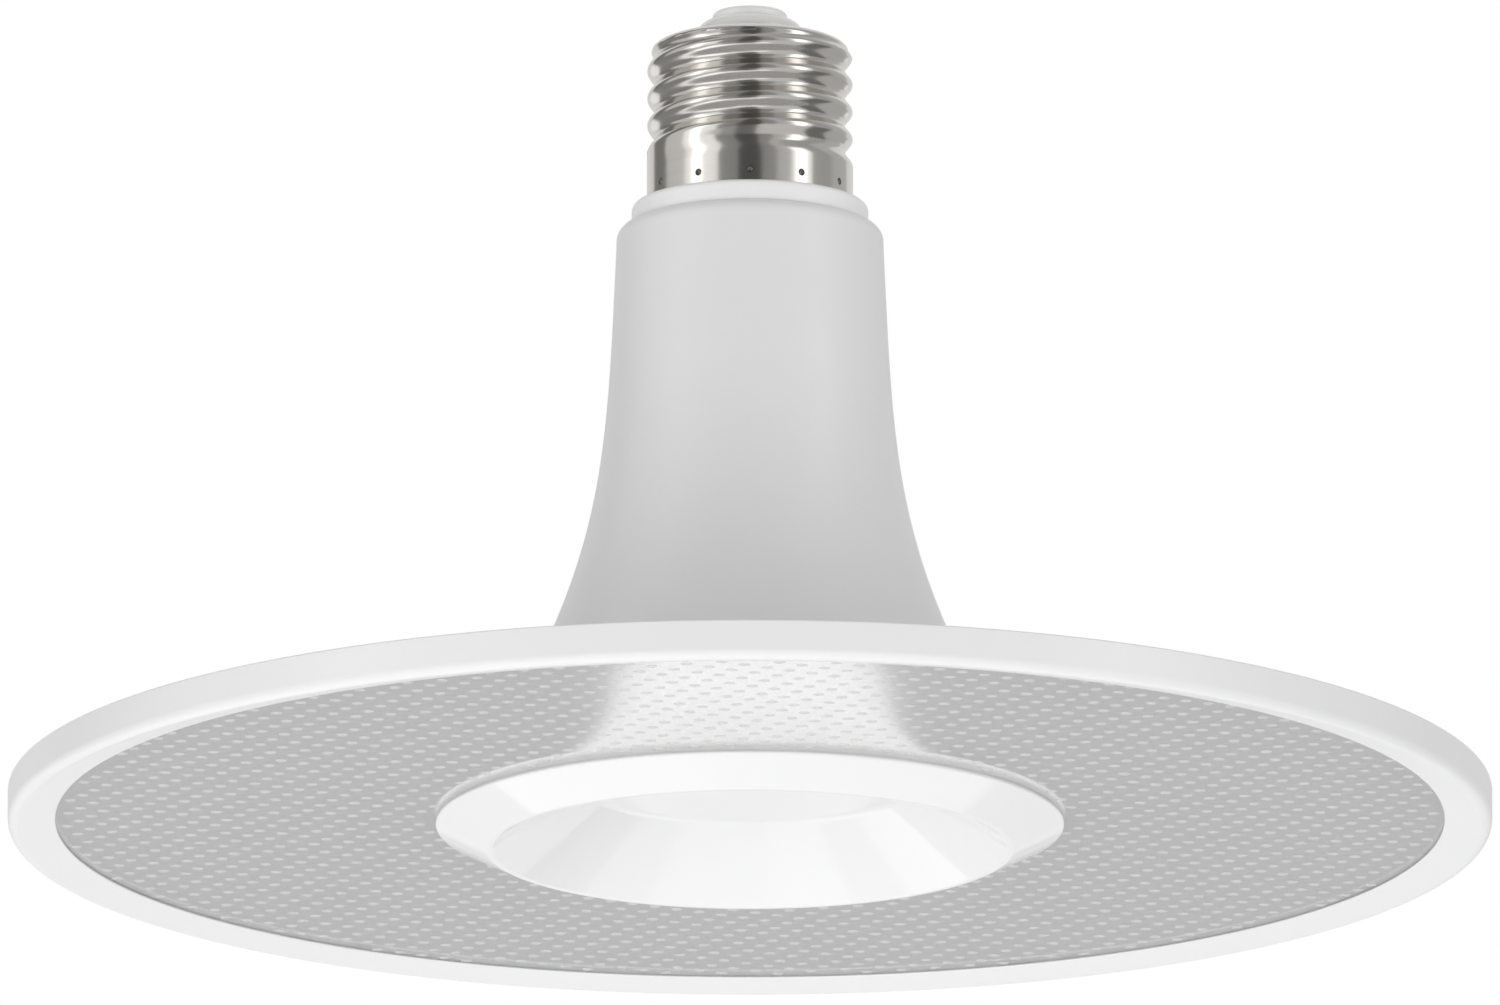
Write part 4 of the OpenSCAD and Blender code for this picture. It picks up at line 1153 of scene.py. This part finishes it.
def light_world(scene, stage):
    """Soft light from all round, white where it is seen or mirrored and grey where the panel shows it."""
    scene.world = bpy.data.worlds.new("Studio")
    nodes, links = empty_tree(scene.world)
    seen, through = seen_directly(nodes, links)
    added = math_node(nodes, links, "MULTIPLY", seen, 1 - stage.ambient)
    lit = math_node(nodes, links, "ADD", added, stage.ambient)
    passing = math_node(nodes, links, "MULTIPLY", through, stage.panel_backdrop)
    beside_panel = math_node(nodes, links, "SUBTRACT", 1.0, through)
    open_air = math_node(nodes, links, "MULTIPLY", lit, beside_panel)
    background = nodes.new("ShaderNodeBackground")
    background.inputs["Color"].default_value = (1, 1, 1, 1)
    links.new(math_node(nodes, links, "ADD", open_air, passing), background.inputs["Strength"])
    links.new(background.outputs["Background"], nodes.new("ShaderNodeOutputWorld").inputs["Surface"])


def lay_floor():
    """Pale floor far under the lamp, white where it is seen or mirrored and dimmer through the panel."""
    deselect()
    bpy.ops.mesh.primitive_plane_add(size=FLOOR_SIZE, location=(0, 0, FLOOR_LEVEL))
    floor_plane = bpy.context.object
    floor_plane.name = floor_plane.data.name = "Floor"
    material = bpy.data.materials.new("Pale Floor")
    nodes, links = empty_tree(material)
    seen, through = seen_directly(nodes, links)
    diffuse = nodes.new("ShaderNodeBsdfDiffuse")
    diffuse.inputs["Color"].default_value = (0.8, 0.8, 0.8, 1)
    glow = nodes.new("ShaderNodeEmission")
    dimmed = math_node(nodes, links, "MULTIPLY", through, 0.6)
    links.new(math_node(nodes, links, "SUBTRACT", 1.0, dimmed), glow.inputs["Strength"])
    mixed = shader_mix(nodes, links, seen, diffuse.outputs["BSDF"], glow.outputs["Emission"])
    links.new(mixed, nodes.new("ShaderNodeOutputMaterial").inputs["Surface"])
    floor_plane.data.materials.append(material)


class LAMP_OT_stage(Operator):
    """Camera below the lamp, soft lamps, cards for the metal, pale floor and white background"""
    bl_idname = "lamp.stage"
    bl_label = "Stage"
    bl_options = {"REGISTER", "UNDO"}

    def execute(self, context):
        scene = context.scene
        scene.view_settings.view_transform = "Standard"
        place_camera(scene, scene.lamp_stage)
        light_world(scene, scene.lamp_stage)
        for values in SOFTBOXES:
            softbox(*values)
        for values in FLOOR_BOXES:
            floor_box(*values)
        for values in CARDS:
            card(*values)
        lay_floor()
        return {"FINISHED"}


OPERATORS = (LAMP_OT_cap_shell, LAMP_OT_cap_insulator, LAMP_OT_centre_contact, LAMP_OT_neck_sleeve,
             LAMP_OT_housing, LAMP_OT_outer_ring, LAMP_OT_back_ring, LAMP_OT_light_guide,
             LAMP_OT_guide_dots, LAMP_OT_hub_cover, LAMP_OT_inner_finishes, LAMP_OT_stage)
GROUPS = {"lamp_cap": CapSizes, "lamp_housing": HousingSizes, "lamp_disc": DiscSizes, "lamp_hub": HubSizes,
          "lamp_colours": FinishColours, "lamp_stage": StageSettings}


class LAMP_PT_builder(Panel):
    """Lists the lamp's sizes and the operators that build it"""
    bl_idname = "LAMP_PT_builder"
    bl_label = "LED Disc Lamp"
    bl_space_type = "VIEW_3D"
    bl_region_type = "UI"
    bl_category = "Lamp"

    def draw(self, context):
        layout = self.layout
        for operator in OPERATORS:
            layout.operator(operator.bl_idname)
        for name, group in GROUPS.items():
            box = layout.box()
            box.label(text=group.__doc__)
            for prop in group.__annotations__:
                box.prop(getattr(context.scene, name), prop)


def register():
    """Registers the settings, the operators and the panel."""
    for cls in (*GROUPS.values(), *OPERATORS, LAMP_PT_builder):
        bpy.utils.register_class(cls)
    for name, group in GROUPS.items():
        setattr(bpy.types.Scene, name, PointerProperty(type=group))


def unregister():
    """Takes back what register added."""
    for name in GROUPS:
        delattr(bpy.types.Scene, name)
    for cls in reversed((*GROUPS.values(), *OPERATORS, LAMP_PT_builder)):
        bpy.utils.unregister_class(cls)


def main():
    register()
    for operator in OPERATORS:
        group, name = operator.bl_idname.split(".")
        getattr(getattr(bpy.ops, group), name)()


if __name__ == "__main__":
    main()
